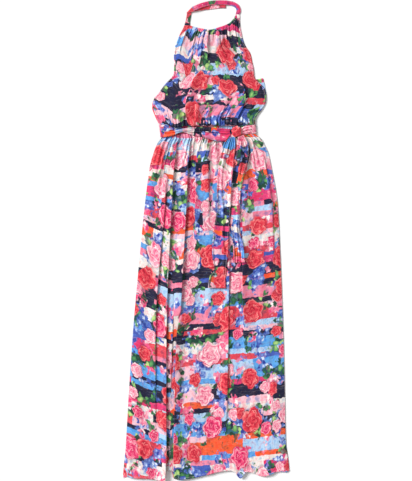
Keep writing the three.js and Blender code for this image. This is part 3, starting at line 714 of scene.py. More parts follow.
def waist_casing(level, seed):
    across = np.linspace(0, 1, CASING_COLUMNS)
    grid, cloth = [], []
    # Rows up the casing, closer at the two seams that pinch its gathers
    for share in [0, 0.05, 0.12, 0.2, 0.35, 0.5, 0.65, 0.8, 0.88, 0.95, 1]:
        left = mix(CASING_SIDES["leftBottom"], CASING_SIDES["leftTop"], share)
        slanted = across + 0.004 * math.sin(share * 5 + seed)
        wave = gathers(slanted, EVEN_AT, seed=seed, **CASING_GATHERS)
        pinch = 1 - 0.55 * (bump((share - 0.12) / 0.1) + bump((share - 0.88) / 0.1))
        x = mix(left, CASING_SIDES["right"], across)
        y = np.full_like(x, mix(WAIST_Y + GAP, BODICE_Y, share))
        grid.append(np.stack([x, y, level + wave * pinch], axis=1))
        cloth.append(np.stack([across * BACK_FLAT, y], axis=1))
    grid = np.array(grid)
    return grid, np.array(cloth), np.full(grid.shape[:2], CLOTH)


# The sash and the strap


def curve_points(places, count):
    """Evenly spaced points of a centre line, with the width and the unit side vector."""
    xs = np.array([row["x"] for row in places], float)
    ys = np.array([row["y"] for row in places], float)
    widths = [row.get("width", STRAP_WIDTH) for row in places]
    run = np.concatenate([[0], np.cumsum(np.hypot(np.diff(xs), np.diff(ys)))])
    rows = [{"run": r, "x": x, "y": y, "width": w} for r, x, y, w in zip(run, xs, ys, widths)]
    at = np.linspace(0, run[-1], count)
    x = along(rows, at, "x")
    y = along(rows, at, "y")
    width = along(rows, at, "width")
    onward = np.stack([np.gradient(x), np.gradient(y)], axis=1)
    onward /= np.linalg.norm(onward, axis=1, keepdims=True)
    side = np.stack([onward[:, 1], -onward[:, 0]], axis=1)
    return x, y, width, side, at


# The height, in metres, from which the cloth is looked down on
LOOKOUT = 0.2


class Surface:
    """The top of the cloth laid so far, found by looking straight down on it."""

    def __init__(self, *pieces):
        self.trees = []
        for piece in pieces:
            mesh = piece.data
            points = [vertex.co.copy() for vertex in mesh.vertices]
            faces = [tuple(face.vertices) for face in mesh.polygons]
            self.trees.append(BVHTree.FromPolygons(points, faces))

    def height(self, x, y):
        top = 0.0
        for tree in self.trees:
            hit = tree.ray_cast(Vector((x * MM, y * MM, LOOKOUT)), Vector((0, 0, -1)))[0]
            if hit:
                top = max(top, hit.z / MM)
        return top

    def heights(self, x, y):
        return np.reshape([self.height(a, b) for a, b in zip(x.ravel(), y.ravel())], x.shape)


def spread(values, reach):
    """The highest value within a reach of each point, counted in points."""
    padded = np.pad(values, reach, mode="edge")
    rows, columns = values.shape
    steps = range(2 * reach + 1)
    return np.max([padded[r : r + rows, c : c + columns] for r in steps for c in steps], axis=0)


def softened(values, times):
    for _ in range(times):
        padded = np.pad(values, 1, mode="edge")
        values = (padded[:-2, 1:-1] + 2 * values + padded[2:, 1:-1]) / 4
        padded = np.pad(values, 1, mode="edge")
        values = (padded[1:-1, :-2] + 2 * values + padded[1:-1, 2:]) / 4
    return values


def ribbon_columns(width):
    """Places across a hemmed ribbon, from -1 to 1, set round the turnings at its edges."""
    edge = np.array([0, 0.6, 3.2, 3.8]) / (width / 2)
    return np.concatenate([-1 + edge, np.linspace(-0.72, 0.72, 23), 1 - edge[::-1]])


# The columns of a ribbon that lie in its hems, and how thick a hem is against the dress's own
RIBBON_HEMS = (1, 2, -2, -3)
RIBBON_HEM_CLOTH = 0.8 * HEM_CLOTH
LAID_GAP = 0.5
# A ribbon bridges hollows this many points to each side, and is then evened out this many times.
BRIDGED = 2
EVENED = 6
# How much of the strip each step round the waist's edge takes up
TURN_LENGTH = 4


def ridges(t, *each):
    """Round folds along a ribbon, each with its height, its place across and its half width."""
    return sum(height * bump((t - place) / half) for height, place, half in each)


def laid_ribbon(places, count, surface, relief, sag=None):
    """A ribbon that lies softly on what is under it.

    relief adds its own folds, and sag lets an edge hang lower, both by the place across it from
    -1 to 1 and the share of its length.
    """
    x, y, width, side, run = curve_points(places, count)
    t = ribbon_columns(float(np.median(width)))[None, :]
    share = (run / run[-1])[:, None]
    reach = t * width[:, None] / 2 + (sag(t, share) if sag else 0)
    gx = x[:, None] + side[:, None, 0] * reach
    gy = y[:, None] + side[:, None, 1] * reach
    below = surface.heights(gx, gy)
    rest = softened(spread(below, BRIDGED), EVENED)
    z = np.maximum(rest, below) + LAID_GAP + CLOTH / 2 + relief(t, share)
    grid = np.stack([gx, gy, z], axis=2)
    flat = lengths(grid, 1)
    cloth = np.stack([flat, run[:, None] + 0 * flat], axis=2)
    thickness = np.full(flat.shape, CLOTH)
    thickness[:, RIBBON_HEMS] = RIBBON_HEM_CLOTH
    return grid, cloth, thickness


def wrapped(made, side, slant=0.0):
    """Carries a ribbon's outer end, left (-1) or right (1), round the waist's edge to the back."""
    outer_first = -side
    grid, cloth, thickness = [part[::outer_first] for part in made]
    end, flat = grid[0], cloth[0]
    out = side * np.linspace(1, 1 - slant, len(end))
    for i, turn in enumerate(WRAP):
        height = mix(end[:, 2], end[:, 2].mean(), (i + 1) / len(WRAP)) - turn["drop"]
        row = np.stack([end[:, 0] + out * turn["out"], end[:, 1], height], axis=1)
        grid = np.concatenate([[row], grid])
        cloth = np.concatenate([[flat + (0, side * TURN_LENGTH * (i + 1))], cloth])
        thickness = np.concatenate([thickness[:1], thickness])
    return [part[::outer_first] for part in (grid, cloth, thickness)]


def sash_back():
    x = np.linspace(SASH_BACK["left"], SASH_BACK["right"], SASH_ROWS["back"])[:, None]
    t = ribbon_columns(SASH_BACK["width"])[None, :]
    gy = SASH_BACK["y"] - t * SASH_BACK["width"] / 2 + 0 * x
    gx = x + 0 * t
    grid = np.stack([gx, gy, np.full(gx.shape, CLOTH / 2)], axis=2)
    return grid, np.stack([gy, gx], axis=2), np.full(gx.shape, CLOTH)


def sash_left(surface):
    def relief(t, share):
        wander = 0.18 * np.sin(7 * share)
        folds = ridges(t - wander, (5.2, 0.15, 0.22), (3.4, -0.36, 0.2))
        folds = folds + ridges(t, (3.4, 0.72, 0.26), (2.0, -0.8, 0.2))
        rolled = ridges(t, (4.5, 0.88, 0.2)) * bump((share - 0.14) / 0.2)
        bunched = 4.0 * bump((share - 0.3) / 0.16) * (1 - t**2)
        waves = 0.7 * (1 + np.sin(31 * share + 5 * t)) * (1 - abs(t))
        return folds * smooth(share, 0.0, 0.1) + rolled + bunched + waves

    def sag(t, share):
        return 14 * smooth(t, 0.2, 0.9) * bump((share - 0.84) / 0.34)

    return wrapped(laid_ribbon(SASH_LEFT, SASH_ROWS["left"], surface, relief, sag), -1, 0.45)


def sash_right(surface):
    def relief(t, share):
        folds = ridges(t, (4.2, -0.1, 0.3), (3.2, 0.55, 0.25), (2.0, -0.7, 0.2))
        return folds * (1 - smooth(share, 0.75, 1.0))

    return wrapped(laid_ribbon(SASH_RIGHT, SASH_ROWS["right"], surface, relief), 1)


def long_end(surface):
    def relief(t, share):
        folds = ridges(t - 0.5 * np.sin(0.4 + 5 * share), (4.0, 0, 0.3)) + ridges(t, (1.8, -0.72, 0.3))
        folds = folds * smooth(share, 0, 0.1) * (1 - smooth(share, 0.86, 0.93))
        gathered = (1 - smooth(share, 0.03, 0.26)) * 4.0 * np.cos(9 * t + 1) ** 2
        curl = 1.8 * smooth(np.abs(t), 0.7, 1) * (1 + np.sin(14 * share + 2 * np.sign(t)))
        flap = 2.6 * smooth(share, 0.912, 0.93)
        return folds + flap + gathered + curl + 0.8 * (1 + np.sin(9 * share + 3 * t))

    return laid_ribbon(LONG_END, SASH_ROWS["long"], surface, relief)


def short_end(surface):
    def relief(t, share):
        folds = ridges(t - 0.5 * np.sin(2 + 5 * share), (3.6, 0, 0.32)) + ridges(t, (2.0, -0.7, 0.3))
        folds = folds * smooth(share, 0, 0.1) * (1 - 0.6 * smooth(share, 0.78, 0.9))
        gathered = (1 - smooth(share, 0.03, 0.3)) * 3.0 * np.cos(8 * t) ** 2
        curl = 1.6 * smooth(np.abs(t), 0.7, 1) * (1 + np.sin(12 * share + 4 * np.sign(t)))
        ribs = 3.2 * smooth(share, 0.78, 0.9) * np.cos(6.5 * t + 0.6) ** 2
        return folds + ribs + gathered + curl + 0.7 * (1 + np.sin(11 * share - 2 * t))

    return laid_ribbon(SHORT_END, SASH_ROWS["short"], surface, relief)


# Points round the knot and up it, and how open its ring at each pole is
KNOT_AROUND = 97
KNOT_UP = 49
KNOT_POLE = 0.02
# Below 1, the knot's pillow is squarer than a ball.
KNOT_ROUNDNESS = 0.72
# The way across the sash's turns, and how much further their cloth runs than the knot is wide
WINDING = (0.62, 0.78)
KNOT_STRETCH = 1.4


def knot_grid(level):
    """The knot: the sash's turns wound over each other, as ridges round a soft pillow."""
    around = np.linspace(0, 2 * math.pi, KNOT_AROUND)[None, :]
    up = np.linspace(KNOT_POLE - math.pi / 2, math.pi / 2 - KNOT_POLE, KNOT_UP)[:, None]

    def boxy(value):
        return np.sign(value) * np.abs(value) ** KNOT_ROUNDNESS

    x = np.cos(up) * np.cos(around)
    y = np.cos(up) * np.sin(around)
    z = np.sin(up) + 0 * around
    slant = WINDING[0] * x + WINDING[1] * y
    cross = WINDING[1] * x - WINDING[0] * y
    crease = 0.07 * np.cos(15 * slant + 2.5 * cross**2)
    crease += 0.05 * np.cos(9 * cross - 3 * slant) * (x < 0.2)
    size = 1 + crease * (1 - np.abs(z) * 0.3)
    gx = KNOT["x"] + boxy(x) * KNOT["width"] / 2 * size
    gy = KNOT["y"] + boxy(y) * KNOT["height"] / 2 * size
    gz = level + KNOT["depth"] / 2 + boxy(z) * KNOT["depth"] / 2 * (1 + 0.9 * crease)
    cloth = np.stack([gx * KNOT_STRETCH, gy * KNOT_STRETCH + gz], axis=2)
    return np.stack([gx, gy, gz], axis=2), cloth + CUT_AT["sash_knot"]


def knot_mesh(name, level, material):
    grid, cloth = knot_grid(level)
    rings, wide = len(grid), grid.shape[1] - 1
    pole = rings * wide
    last = pole - wide
    points = np.concatenate([grid[:, :-1].reshape(-1, 3), grid[[0, -1]].mean(axis=1)])
    print_at = cloth[:, :-1].reshape(-1, 2)
    print_at = np.concatenate([print_at, print_at[:1], print_at[-1:]])
    pairs = [(c, (c + 1) % wide) for c in range(wide)]
    faces = []
    for low in range(0, last, wide):
        faces += [(low + c, low + d, low + wide + d, low + wide + c) for c, d in pairs]
    for c, d in pairs:
        faces += [(pole, d, c), (pole + 1, last + c, last + d)]
    return cloth_piece(name, points, faces, print_at, material)


def strap_left():
    fold = np.array([LEFT_STRAP["foldX"], LEFT_STRAP["foldY"], 0.0])
    base = np.array([LEFT_STRAP["baseX"], LEFT_STRAP["baseY"] + GAP, 0.0])
    first = np.array([LEFT_STRAP_TOP[0]["x"], LEFT_STRAP_TOP[0]["y"], 0.0])
    up = (fold - base) / np.linalg.norm(fold - base)
    right = (first - fold) / np.linalg.norm(first - fold)
    crease = (up + right) / np.linalg.norm(up + right)
    outward = np.array([-crease[1], crease[0], 0])
    slant = STRAP_WIDTH / 2 / math.sin(math.acos(float(up @ crease)))
    seam = np.array([1, LEFT_STRAP["slope"], 0]) / math.hypot(1, LEFT_STRAP["slope"])
    level = STRAP_CLOTH / 2 + STRAP_GAP
    radius = (STRAP_CLOTH + 2 * GAP) / 2
    t = np.linspace(-1, 1, STRAP_COLUMNS)[:, None]
    rise = np.array([0, 0, 1.0])
    rows = []
    for share in np.linspace(0, 0.92, STRAP_ROWS["rise"]):
        centre = mix(base, fold, share)
        width = mix(LEFT_STRAP["baseWidth"], STRAP_WIDTH, smooth(share, 0, 0.3))
        half = mix(seam * width / 2, crease * slant, smooth(share, 0.1, 0.92))
        rows.append(centre + half * t + rise * level)
    for angle in np.linspace(0, math.pi, STRAP_ROWS["turn"]):
        centre = fold + outward * radius * math.sin(angle)
        rows.append(centre + crease * slant * t + rise * (level + radius * (1 - math.cos(angle))))
    x, y, _, side, run = curve_points([{"x": fold[0], "y": fold[1]}, *LEFT_STRAP_TOP], STRAP_ROWS["top"])
    for i in range(3, len(x)):
        share = run[i] / run[-1]
        own = np.array([*side[i], 0]) * -STRAP_WIDTH / 2
        half = mix(own, crease * slant, 1 - smooth(share, 0.02, 0.3))
        z = level + 2 * radius * (1 - smooth(share, 0.22, 0.4))
        rows.append(np.array([x[i], y[i], z]) + half * t)
    grid = np.array(rows)
    cloth = np.stack([lengths(grid, 0), t.T * STRAP_WIDTH / 2 + 0 * grid[..., 0]], axis=2)
    return grid, cloth, strap_thickness(grid)


def strap_right():
    x, y, _, side, run = curve_points(RIGHT_STRAP, STRAP_ROWS["right"])
    share = run / run[-1]
    seam = np.array([1, RIGHT_STRAP_SLOPE]) / math.hypot(1, RIGHT_STRAP_SLOPE)
    side = mix(side, seam, (1 - smooth(share, 0, 0.12))[:, None])
    side /= np.linalg.norm(side, axis=1, keepdims=True)
    climb = (STRAP_CLOTH + 1) * (smooth(share, 0.26, 0.4) + smooth(share, 0.7, 0.85))
    t = np.linspace(-1, 1, STRAP_COLUMNS)[None, :]
    gx = x[:, None] + side[:, :1] * t * STRAP_WIDTH / 2
    gy = y[:, None] + GAP + side[:, 1:] * t * STRAP_WIDTH / 2
    gz = STRAP_CLOTH / 2 + STRAP_GAP + climb[:, None] + 0.5 * bump((t - 0.2) / 0.7)
    grid = np.stack([gx, gy, gz], axis=2)
    cloth = np.stack([run[:, None] + 0 * gx, t * STRAP_WIDTH / 2 + 0 * gx], axis=2)
    return grid, cloth, strap_thickness(grid)


def strap_thickness(grid):
    """A strap is a folded tube: thick at its two folded edges and rounded off at them."""
    t = np.abs(np.linspace(-1, 1, grid.shape[1]))
    section = STRAP_CLOTH * (0.78 + 0.22 * bump((t - 0.8) / 0.25))
    section *= np.sqrt(np.clip(1.06 - t**6, 0.2, 1))
    return np.broadcast_to(section, grid.shape[:2])


# Materials


def colour(text):
    """The linear colour of an sRGB hex value."""
    parts = [int(text[i : i + 2], 16) / 255 for i in (1, 3, 5)]
    return (*[p / 12.92 if p <= 0.04045 else ((p + 0.055) / 1.055) ** 2.4 for p in parts], 1.0)


def add(tree, kind, inputs=(), output=0, ramp=None, **settings):
    """Adds a node with its settings, sets or links its inputs, and returns one of its outputs."""
    node = tree.nodes.new(kind)
    for setting, value in settings.items():
        setattr(node, setting, value)
    if ramp:
        style, *stops = ramp
        node.color_ramp.interpolation = style
        while len(node.color_ramp.elements) < len(stops):
            node.color_ramp.elements.new(1.0)
        for element, (place, shade) in zip(node.color_ramp.elements, stops):
            element.position = place
            element.color = colour(shade)
    named = inputs if isinstance(inputs, dict) else dict(enumerate(inputs))
    for key, value in named.items():
        if isinstance(value, bpy.types.NodeSocket):
            tree.links.new(value, node.inputs[key])
        elif value is not None:
            node.inputs[key].default_value = value
    return node.outputs[output] if node.outputs else node


MATH = "ShaderNodeMath"
VECTOR = "ShaderNodeVectorMath"
MIX = "ShaderNodeMixRGB"
RAMP = "ShaderNodeValToRGB"
NOISE = "ShaderNodeTexNoise"
CELLS = "ShaderNodeTexVoronoi"
CHANCE = "ShaderNodeTexWhiteNoise"
SPAN = "ShaderNodeMapRange"

# The print's colours
NAVY = "#1b1c3a"
CREAM = "#f1e8e0"
PINK = "#f08aa4"
PALE_PINK = "#f7c6d0"
CORAL = "#e24756"
HOT_PINK = "#e33a72"
ORANGE = "#f95f32"
SKY = "#5fa8e6"
ROYAL = "#4560b6"
LIGHT_BLUE = "#b4d4f0"

# Petals and leaves, from shadow to light
RED_PETALS = ("LINEAR", (0.0, "#a8142e"), (0.22, "#d62f42"), (0.45, "#e6505a"), (0.75, "#fb9c97"))
PINK_PETALS = ("LINEAR", (0.0, "#dd4f78"), (0.2, "#f18ba3"), (0.45, "#f9b9c4"), (0.75, "#fff0ee"))
DEEP_PETALS = ("LINEAR", (0.0, "#b5124f"), (0.22, "#e23369"), (0.45, "#f3708f"), (0.75, "#fcc6cd"))
BLUE_FLOWERS = ("LINEAR", (0.0, "#2a3d94"), (0.3, ROYAL), (0.55, "#86a2dc"), (0.8, "#dfe8f8"))
BLOSSOM = ("LINEAR", (0.0, HOT_PINK), (0.3, PINK), (0.6, PALE_PINK), (0.85, "#fff6f0"))
LEAVES = ("LINEAR", (0.0, "#1a4232"), (0.3, "#37734b"), (0.55, "#63a35c"), (0.85, "#bfdc86"))

# The print's stripes: how high they are, how long, and in what shares of each colour
STRIPE_HEIGHT = 24
STRIPE_LENGTH = 210
STRIPE_COLOURS = (
    "CONSTANT",
    (0.0, NAVY),
    (0.26, CREAM),
    (0.4, PINK),
    (0.46, SKY),
    (0.57, CORAL),
    (0.62, LIGHT_BLUE),
    (0.72, HOT_PINK),
    (0.78, PALE_PINK),
    (0.89, ORANGE),
    (0.93, ROYAL),
)
# The sprays over them, lowest first: the room of one flower and the size of a patch of them, the
# share of the cloth that they take, half the number of petals, and their colours
SPRAYS = table(
    "cell patch amount lobes ramp ground shift",
    (12, 74, 0.44, 2.0, BLUE_FLOWERS, "#5e7cc6", 31),
    (16, 66, 0.41, 2.5, BLOSSOM, "#ee7f9a", 57),
    (19, 58, 0.42, 1.0, LEAVES, "#1c4a38", 83),
)
# The roses on top: the room of one rose, its reach in it, and the share of rooms that hold one
ROSES = table("cell size share shift", (60, 0.34, 0.34, 11), (104, 0.34, 0.53, 5))


def scaled(tree, place, size, stretch=1.0):
    """The place counted in steps of a size, which may be longer down the cloth than across."""
    return add(tree, VECTOR, (place, (1 / size, 1 / (size * stretch), 0.0)), operation="MULTIPLY")


def cloud(tree, place, size, detail=2.0, stretch=1.0, shift=0.0):
    """Uneven patches of about a size, from 0 to 1."""
    moved = add(tree, VECTOR, (scaled(tree, place, size, stretch), (shift, shift, 0.0)), operation="ADD")
    inputs = {"Vector": moved, "Scale": 1.0, "Detail": detail, "Roughness": 0.6}
    return add(tree, NOISE, inputs, noise_dimensions="2D")


def between(tree, value, low, high):
    """0 at low and 1 at high, level at both."""
    return add(tree, SPAN, (value, low, high, 0.0, 1.0), interpolation_type="SMOOTHSTEP")


def product(tree, a, b):
    return add(tree, MATH, (a, b), operation="MULTIPLY")


def scattered(tree, place, cell, shift):
    """Where a point lies in the nearest cell of a scatter: radius, angle and random numbers."""
    moved = add(tree, VECTOR, (scaled(tree, place, cell), (shift, shift, 0.0)), operation="ADD")
    inputs = {"Vector": moved, "Scale": 1.0, "Randomness": 0.8}
    centre = add(tree, CELLS, inputs, "Position", voronoi_dimensions="2D")
    from_centre = add(tree, VECTOR, (moved, centre), operation="SUBTRACT")
    radius = add(tree, VECTOR, (from_centre,), "Value", operation="LENGTH")
    parts = add(tree, "ShaderNodeSeparateXYZ", (from_centre,)).node.outputs
    angle = add(tree, MATH, (parts[1], parts[0]), operation="ARCTAN2")
    random = add(tree, "ShaderNodeSeparateColor", (centre.node.outputs["Color"],)).node.outputs
    return radius, add(tree, MATH, (random[1], 6.28, angle), operation="MULTIPLY_ADD"), random


def lobed(tree, angle, times, depth):
    """The reach of a shape round its centre, with twice as many lobes as times."""
    wave = add(tree, MATH, (product(tree, angle, times),), operation="COSINE")
    wave = add(tree, MATH, (wave,), operation="ABSOLUTE")
    return add(tree, MATH, (wave, depth, 1 - depth), operation="MULTIPLY_ADD")


def roses(tree, place, under, cell, size, share, shift):
    """Full flowers, one in each cell: petals in rings that wind outwards from the heart."""
    radius, angle, random = scattered(tree, place, cell, shift)
    # Each rose has a size of its own and a lobed, uneven edge.
    uneven = add(tree, MATH, (cloud(tree, place, cell / 5, shift=shift), 0.5), operation="SUBTRACT")
    grown = add(tree, MATH, (random[2], 0.3 * size, 0.82 * size), operation="MULTIPLY_ADD")
    reach = product(tree, lobed(tree, angle, 2.5, 0.18), grown)
    out = add(tree, MATH, (radius, reach), operation="DIVIDE")
    out = add(tree, MATH, (uneven, 0.42, out), operation="MULTIPLY_ADD")
    # Its rings wind outwards, and each ring's edge is scalloped into petals.
    rings = add(tree, MATH, (angle, 1 / 6.2832, product(tree, out, 2.2)), operation="MULTIPLY_ADD")
    number = add(tree, MATH, (rings,), operation="FLOOR")
    turned = add(tree, MATH, (number, 2.1, product(tree, angle, 3.0)), operation="MULTIPLY_ADD")
    scallop = add(tree, MATH, (turned,), operation="SINE")
    rings = add(tree, MATH, (scallop, 0.24, rings), operation="MULTIPLY_ADD")
    rings = add(tree, MATH, (uneven, 0.7, rings), operation="MULTIPLY_ADD")
    # A petal is dark at its root and pale at its lip, and paler further out.
    petal = add(tree, MATH, (rings,), operation="FRACT")
    deeper = add(tree, MATH, (out, 0.32, 0.44), operation="MULTIPLY_ADD")
    shade = add(tree, MATH, (uneven, 0.5, product(tree, petal, deeper)), operation="MULTIPLY_ADD")
    flower = add(tree, RAMP, (shade,), ramp=RED_PETALS)
    for least, ramp in ((0.4, PINK_PETALS), (0.8, DEEP_PETALS)):
        chosen = add(tree, MATH, (random[0], least), operation="GREATER_THAN")
        flower = add(tree, MIX, (chosen, flower, add(tree, RAMP, (shade,), ramp=ramp)))
    # A soft shadow lies round the flower.
    there = add(tree, MATH, (random[1], share), operation="LESS_THAN")
    shadow = product(tree, between(tree, out, 1.35, 1.0), product(tree, there, 0.4))
    under = add(tree, MIX, (shadow, under, colour("#40203c")))
    inside = product(tree, between(tree, out, 1.06, 0.98), there)
    return add(tree, MIX, (inside, under, flower))


def sprays(tree, place, under, cell, patch, amount, lobes, ramp, ground, shift):
    """Patches of small flowers or leaves on a ground of their own."""
    patches = cloud(tree, place, patch, detail=3.0, shift=shift)
    where = between(tree, patches, 1 - amount, 1.04 - amount)
    radius, angle, random = scattered(tree, place, cell, shift)
    reach = product(tree, lobed(tree, angle, lobes, 0.45), 0.62)
    out = add(tree, MATH, (radius, reach), operation="DIVIDE")
    tone = add(tree, MATH, (out, -0.3, random[0]), operation="MULTIPLY_ADD")
    petals = add(tree, RAMP, (tone,), ramp=ramp)
    under = add(tree, MIX, (product(tree, where, 0.8), under, colour(ground)))
    inside = product(tree, between(tree, out, 1.1, 0.85), where)
    return add(tree, MIX, (inside, under, petals))


def stripes(tree, place):
    """Brushed stripes in short lengths, each length in a colour of its own."""
    parts = add(tree, "ShaderNodeSeparateXYZ", (place,)).node.outputs
    row = add(tree, MATH, (parts[1], STRIPE_HEIGHT), operation="DIVIDE")
    uneven = add(tree, MATH, (product(tree, row, 1.9),), operation="SINE")
    row = add(tree, MATH, (uneven, 0.36, row), operation="MULTIPLY_ADD")
    number = add(tree, MATH, (row,), operation="FLOOR")
    start = add(tree, CHANCE, {"W": number}, noise_dimensions="1D")
    run = add(tree, MATH, (parts[0], STRIPE_LENGTH), operation="DIVIDE")
    run = add(tree, MATH, (start, 7.0, run), operation="MULTIPLY_ADD")
    block = add(tree, MATH, (run,), operation="FLOOR")
    key = add(tree, "ShaderNodeCombineXYZ", (number, block, 0.0))
    chance = add(tree, CHANCE, {"Vector": key}, noise_dimensions="2D")
    band = add(tree, RAMP, (chance,), ramp=STRIPE_COLOURS)
    # Dry brush strokes along a stripe, 3 mm high
    strokes = between(tree, cloud(tree, place, 40, 3.0, 0.075), 0.5, 0.8)
    band = add(tree, MIX, (product(tree, strokes, 0.14), band, colour(CREAM)))
    # Pools of watercolour, 17 mm across, that tint the stripe
    pools = cloud(tree, place, 17, 3.0, shift=40)
    tint = add(tree, RAMP, (pools,), ramp=("LINEAR", (0.3, SKY), (0.5, "#ffffff"), (0.7, PINK)))
    return add(tree, MIX, (0.6, band, tint), blend_type="MULTIPLY")


def printed_georgette(name):
    """Polyester georgette, woven of crepe-twisted yarn and printed on its face.

    The crepe yarn gives a fine pebbled, matt surface, and the ink has sunk into it, so its
    edges are soft.
    """
    material = bpy.data.materials.new(name)
    material.use_nodes = True
    tree = material.node_tree
    tree.nodes.clear()
    uv = add(tree, "ShaderNodeUVMap", uv_map="cloth")
    place = flat = add(tree, VECTOR, {0: uv, "Scale": 1000.0}, operation="SCALE")
    # The brush's wander: slow over 26 mm, and quick over 7 mm
    for wave, reach in ((26, 7.0), (7, 2.6)):
        drift = cloud(tree, place, wave, 1.0).node.outputs["Color"]
        centred = add(tree, VECTOR, (drift, (0.5, 0.5, 0.5)), operation="SUBTRACT")
        centred = add(tree, VECTOR, {0: centred, "Scale": reach}, operation="SCALE")
        place = add(tree, VECTOR, (place, centred), operation="ADD")
    shade = stripes(tree, place)
    for spray in SPRAYS:
        shade = sprays(tree, place, shade, **spray)
    for rose in ROSES:
        shade = roses(tree, place, shade, **rose)
    # Crepe grain, 0.9 mm: coarser than the real 0.3 mm so that it shows. Where the grain stands high,
    # the colour is mixed up to 2 % towards white: a painted highlight of light catching the crepe's
    # pebbles.
    crepe = cloud(tree, flat, 0.9, shift=3)
    light = product(tree, between(tree, crepe, 0.3, 0.7), 0.02)
    shade = add(tree, MIX, (light, shade, colour("#ffffff")))
    # Fine crushed creases, 9 mm apart and longer down the cloth than across it
    height = product(tree, cloud(tree, flat, 9, 2.0, 3.6, 9), 0.9)
    height = add(tree, MATH, (crepe, 0.1, height), operation="MULTIPLY_ADD")
    relief = {"Strength": 0.6, "Distance": 0.0012, "Height": height}
    cloth = {
        "Base Color": shade,
        "Roughness": 0.8,
        "IOR": 1.45,
        "Specular IOR Level": 0.1,
        "Normal": add(tree, "ShaderNodeBump", relief, "Normal"),
    }
    shader = add(tree, "ShaderNodeBsdfPrincipled", cloth)
    add(tree, "ShaderNodeOutputMaterial", {"Surface": shader})
    return material


def sewing_thread():
    """Spun polyester thread: pale, matt, and lightly twisted."""
    material = bpy.data.materials.new("spun polyester sewing thread")
    material.use_nodes = True
    tree = material.node_tree
    tree.nodes.clear()
    place = add(tree, "ShaderNodeTexCoord", output="Object")
    # The thread's pink is darker and paler at random, in patches about 0.4 mm across.
    thread_tone = add(tree, NOISE, {"Vector": place, "Scale": 2500.0, "Detail": 1.0})
    shade = add(tree, RAMP, (thread_tone,), ramp=("LINEAR", (0.3, "#c9a2ae"), (0.7, "#f4dfe2")))
    shader = add(tree, "ShaderNodeBsdfPrincipled", {"Base Color": shade, "Roughness": 0.7})
    add(tree, "ShaderNodeOutputMaterial", {"Surface": shader})
    return material


# Stitches

STITCH_SIZES = {"Stitch length": 2.2, "Stitch pitch": 3.2, "Thread radius": 0.28}


def stitch_tree(material):
    """Lays a thread stitch at each step along curves."""
    tree = bpy.data.node_groups.new("stitch row", "GeometryNodeTree")
    sockets = tree.interface
    sockets.new_socket("Geometry", in_out="INPUT", socket_type="NodeSocketGeometry")
    for title in STITCH_SIZES:
        sockets.new_socket(title, in_out="INPUT", socket_type="NodeSocketFloat")
    sockets.new_socket("Geometry", in_out="OUTPUT", socket_type="NodeSocketGeometry")
    given = add(tree, "NodeGroupInput").node.outputs
    steps = {"Curve": given["Geometry"], "Length": given["Stitch pitch"]}
    points = add(tree, "GeometryNodeCurveToPoints", steps, "Points", mode="LENGTH")
    sizes = {"Vertices": 6, "Radius": given["Thread radius"], "Depth": given["Stitch length"]}
    stitch = add(tree, "GeometryNodeMeshCylinder", sizes, "Mesh")
    laid = {"Points": points, "Instance": stitch, "Rotation": points.node.outputs["Rotation"]}
    real = add(tree, "GeometryNodeRealizeInstances", (add(tree, "GeometryNodeInstanceOnPoints", laid),))
    finished = add(tree, "GeometryNodeSetMaterial", {"Geometry": real, "Material": material})
    add(tree, "NodeGroupOutput", {"Geometry": finished})
    return tree


def stitching(name, paths, material):
    """One mesh of all the stitch rows, each path a list of points in millimetres."""
    curve = bpy.data.curves.new(name, "CURVE")
    curve.dimensions = "3D"
    for path in paths:
        spline = curve.splines.new("POLY")
        spline.points.add(len(path) - 1)
        for point, place in zip(spline.points, path):
            point.co = (*(np.asarray(place) * MM), 1)
    rows = placed(name + "_rows", curve)
    tree = stitch_tree(material)
    modifier = rows.modifiers.new("stitches", "NODES")
    modifier.node_group = tree
    for item in tree.interface.items_tree:
        if item.name in STITCH_SIZES:
            modifier[item.identifier] = STITCH_SIZES[item.name] * MM
    view = bpy.context.evaluated_depsgraph_get()
    mesh = bpy.data.meshes.new_from_object(rows.evaluated_get(view), depsgraph=view)
    mesh.name = name
    bpy.data.objects.remove(rows)
    bpy.data.curves.remove(curve)
    return placed(name, mesh)


# Camera, light and floor

camera_data = bpy.data.cameras.new("camera")
camera_data.lens = LENS
camera_data.sensor_width = SENSOR
camera_data.clip_end = 50
bpy.context.scene.camera = placed("camera", camera_data, (0, 0, CAMERA_HEIGHT))
bpy.context.scene.view_settings.view_transform = "Standard"
bpy.context.scene.view_settings.look = "None"


def lamp(name, kind, place, power, **settings):
    data = bpy.data.lights.new(name, kind)
    data.energy = power
    for setting, value in settings.items():
        setattr(data, setting, value)
    light = placed(name, data, place)
    light.rotation_euler = (-Vector(place)).to_track_quat("-Z", "Y").to_euler()


# A wide window high on the left, and a weak reflector opposite
lamp("window", "SUN", place=(-2.6, 1.5, 1.9), power=4.2, angle=math.radians(26))
lamp("reflector", "AREA", place=(2.4, -1.4, 2.4), power=14, shape="DISK", size=2.5)

world = bpy.data.worlds.new("studio")
world.use_nodes = True
background = world.node_tree.nodes["Background"].inputs
background["Color"].default_value = (1, 1, 1, 1)
background["Strength"].default_value = ROOM_LIGHT
bpy.context.scene.world = world

floor_mesh = bpy.data.meshes.new("floor")
corners = [(-FLOOR, -FLOOR, 0), (FLOOR, -FLOOR, 0), (FLOOR, FLOOR, 0), (-FLOOR, FLOOR, 0)]
floor_mesh.from_pydata(corners, [], [(0, 1, 2, 3)])
floor = placed("floor", floor_mesh, (0, 0, -FLOOR_DROP))
paper = bpy.data.materials.new("matt white background paper")
paper.use_nodes = True
finish_of_paper = paper.node_tree.nodes["Principled BSDF"].inputs
finish_of_paper["Base Color"].default_value = (0.98, 0.98, 0.98, 1)
finish_of_paper["Roughness"].default_value = 0.9
floor_mesh.materials.append(paper)

# The dress

georgette = printed_georgette("printed crepe georgette")
thread = sewing_thread()


def finish(piece, node):
    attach(piece, "root")
    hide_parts(node)


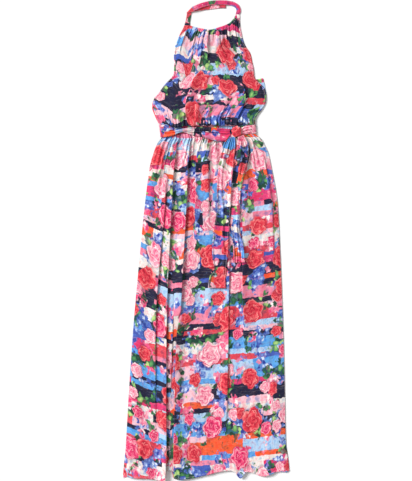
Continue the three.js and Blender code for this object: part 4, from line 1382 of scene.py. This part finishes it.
def panel(node, made, slot="printed_georgette", **options):
    grid, cloth, thickness = made
    piece = wall_mesh(node + "_cloth", grid, cloth + CUT_AT[node], thickness, georgette, **options)
    finish(piece, node)
    return piece


skirt_shape = skirt_front()
bodice_shape = bodice_front()
skirt_front_piece = panel("skirt_front", skirt_shape)
skirt_back_piece = panel("skirt_back", skirt_back(), bottom_flat=True)
bodice_front_piece = panel("bodice_front", bodice_shape)
bodice_back_piece = panel("bodice_back", bodice_back(), bottom_flat=True)
casing_front_piece = panel("waist_casing_front", waist_casing(FRONT_LEVEL + FRONT_LIFT, 1))
casing_back_piece = panel("waist_casing_back", waist_casing(BACK_LEVEL + BACK_LIFT - CASING_DROP, 2))
waist = Surface(skirt_front_piece, casing_front_piece)
sash_back_piece = panel("sash_back", sash_back(), "sash_georgette", bottom_flat=True)
sash_left_piece = panel("sash_left", sash_left(waist), "sash_georgette")
sash_right_piece = panel("sash_right", sash_right(waist), "sash_georgette")
knot_level = waist.height(KNOT["x"], KNOT["y"]) + KNOT_RISE
knot_piece = knot_mesh("sash_knot_cloth", knot_level, georgette)
finish(knot_piece, "sash_knot")
short_shape = short_end(Surface(skirt_front_piece))
short_end_piece = panel("sash_end_short", short_shape, "sash_georgette")
long_shape = long_end(Surface(skirt_front_piece, short_end_piece))
long_end_piece = panel("sash_end_long", long_shape, "sash_georgette")
left_strap_shape = strap_left()
right_strap_shape = strap_right()
strap_left_piece = panel("strap_left", left_strap_shape, "strap_georgette")
strap_right_piece = panel("strap_right", right_strap_shape, "strap_georgette")


def seam_down(made, column, rise):
    """A row of stitches down a column of a piece's points, raised to the cloth's face."""
    return made[0][1:-1, column] + (0, 0, rise)


def seam_across(made, row, rise):
    return made[0][row, 2:-2] + (0, 0, rise)


seams = [seam_across(skirt_shape, 3, 0.75), seam_across(bodice_shape, -8, 0.8)]
for made, columns, rise in (
    (bodice_shape, (2, -3), 0.95),
    (long_shape, (2, -3), 0.8),
    (short_shape, (2, -3), 0.8),
    (left_strap_shape, (1,), 0.9),
    (right_strap_shape, (1, -2), 0.9),
):
    seams += [seam_down(made, column, rise) for column in columns]
stitches = stitching("seam_stitches", seams, thread)
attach(stitches, "root")
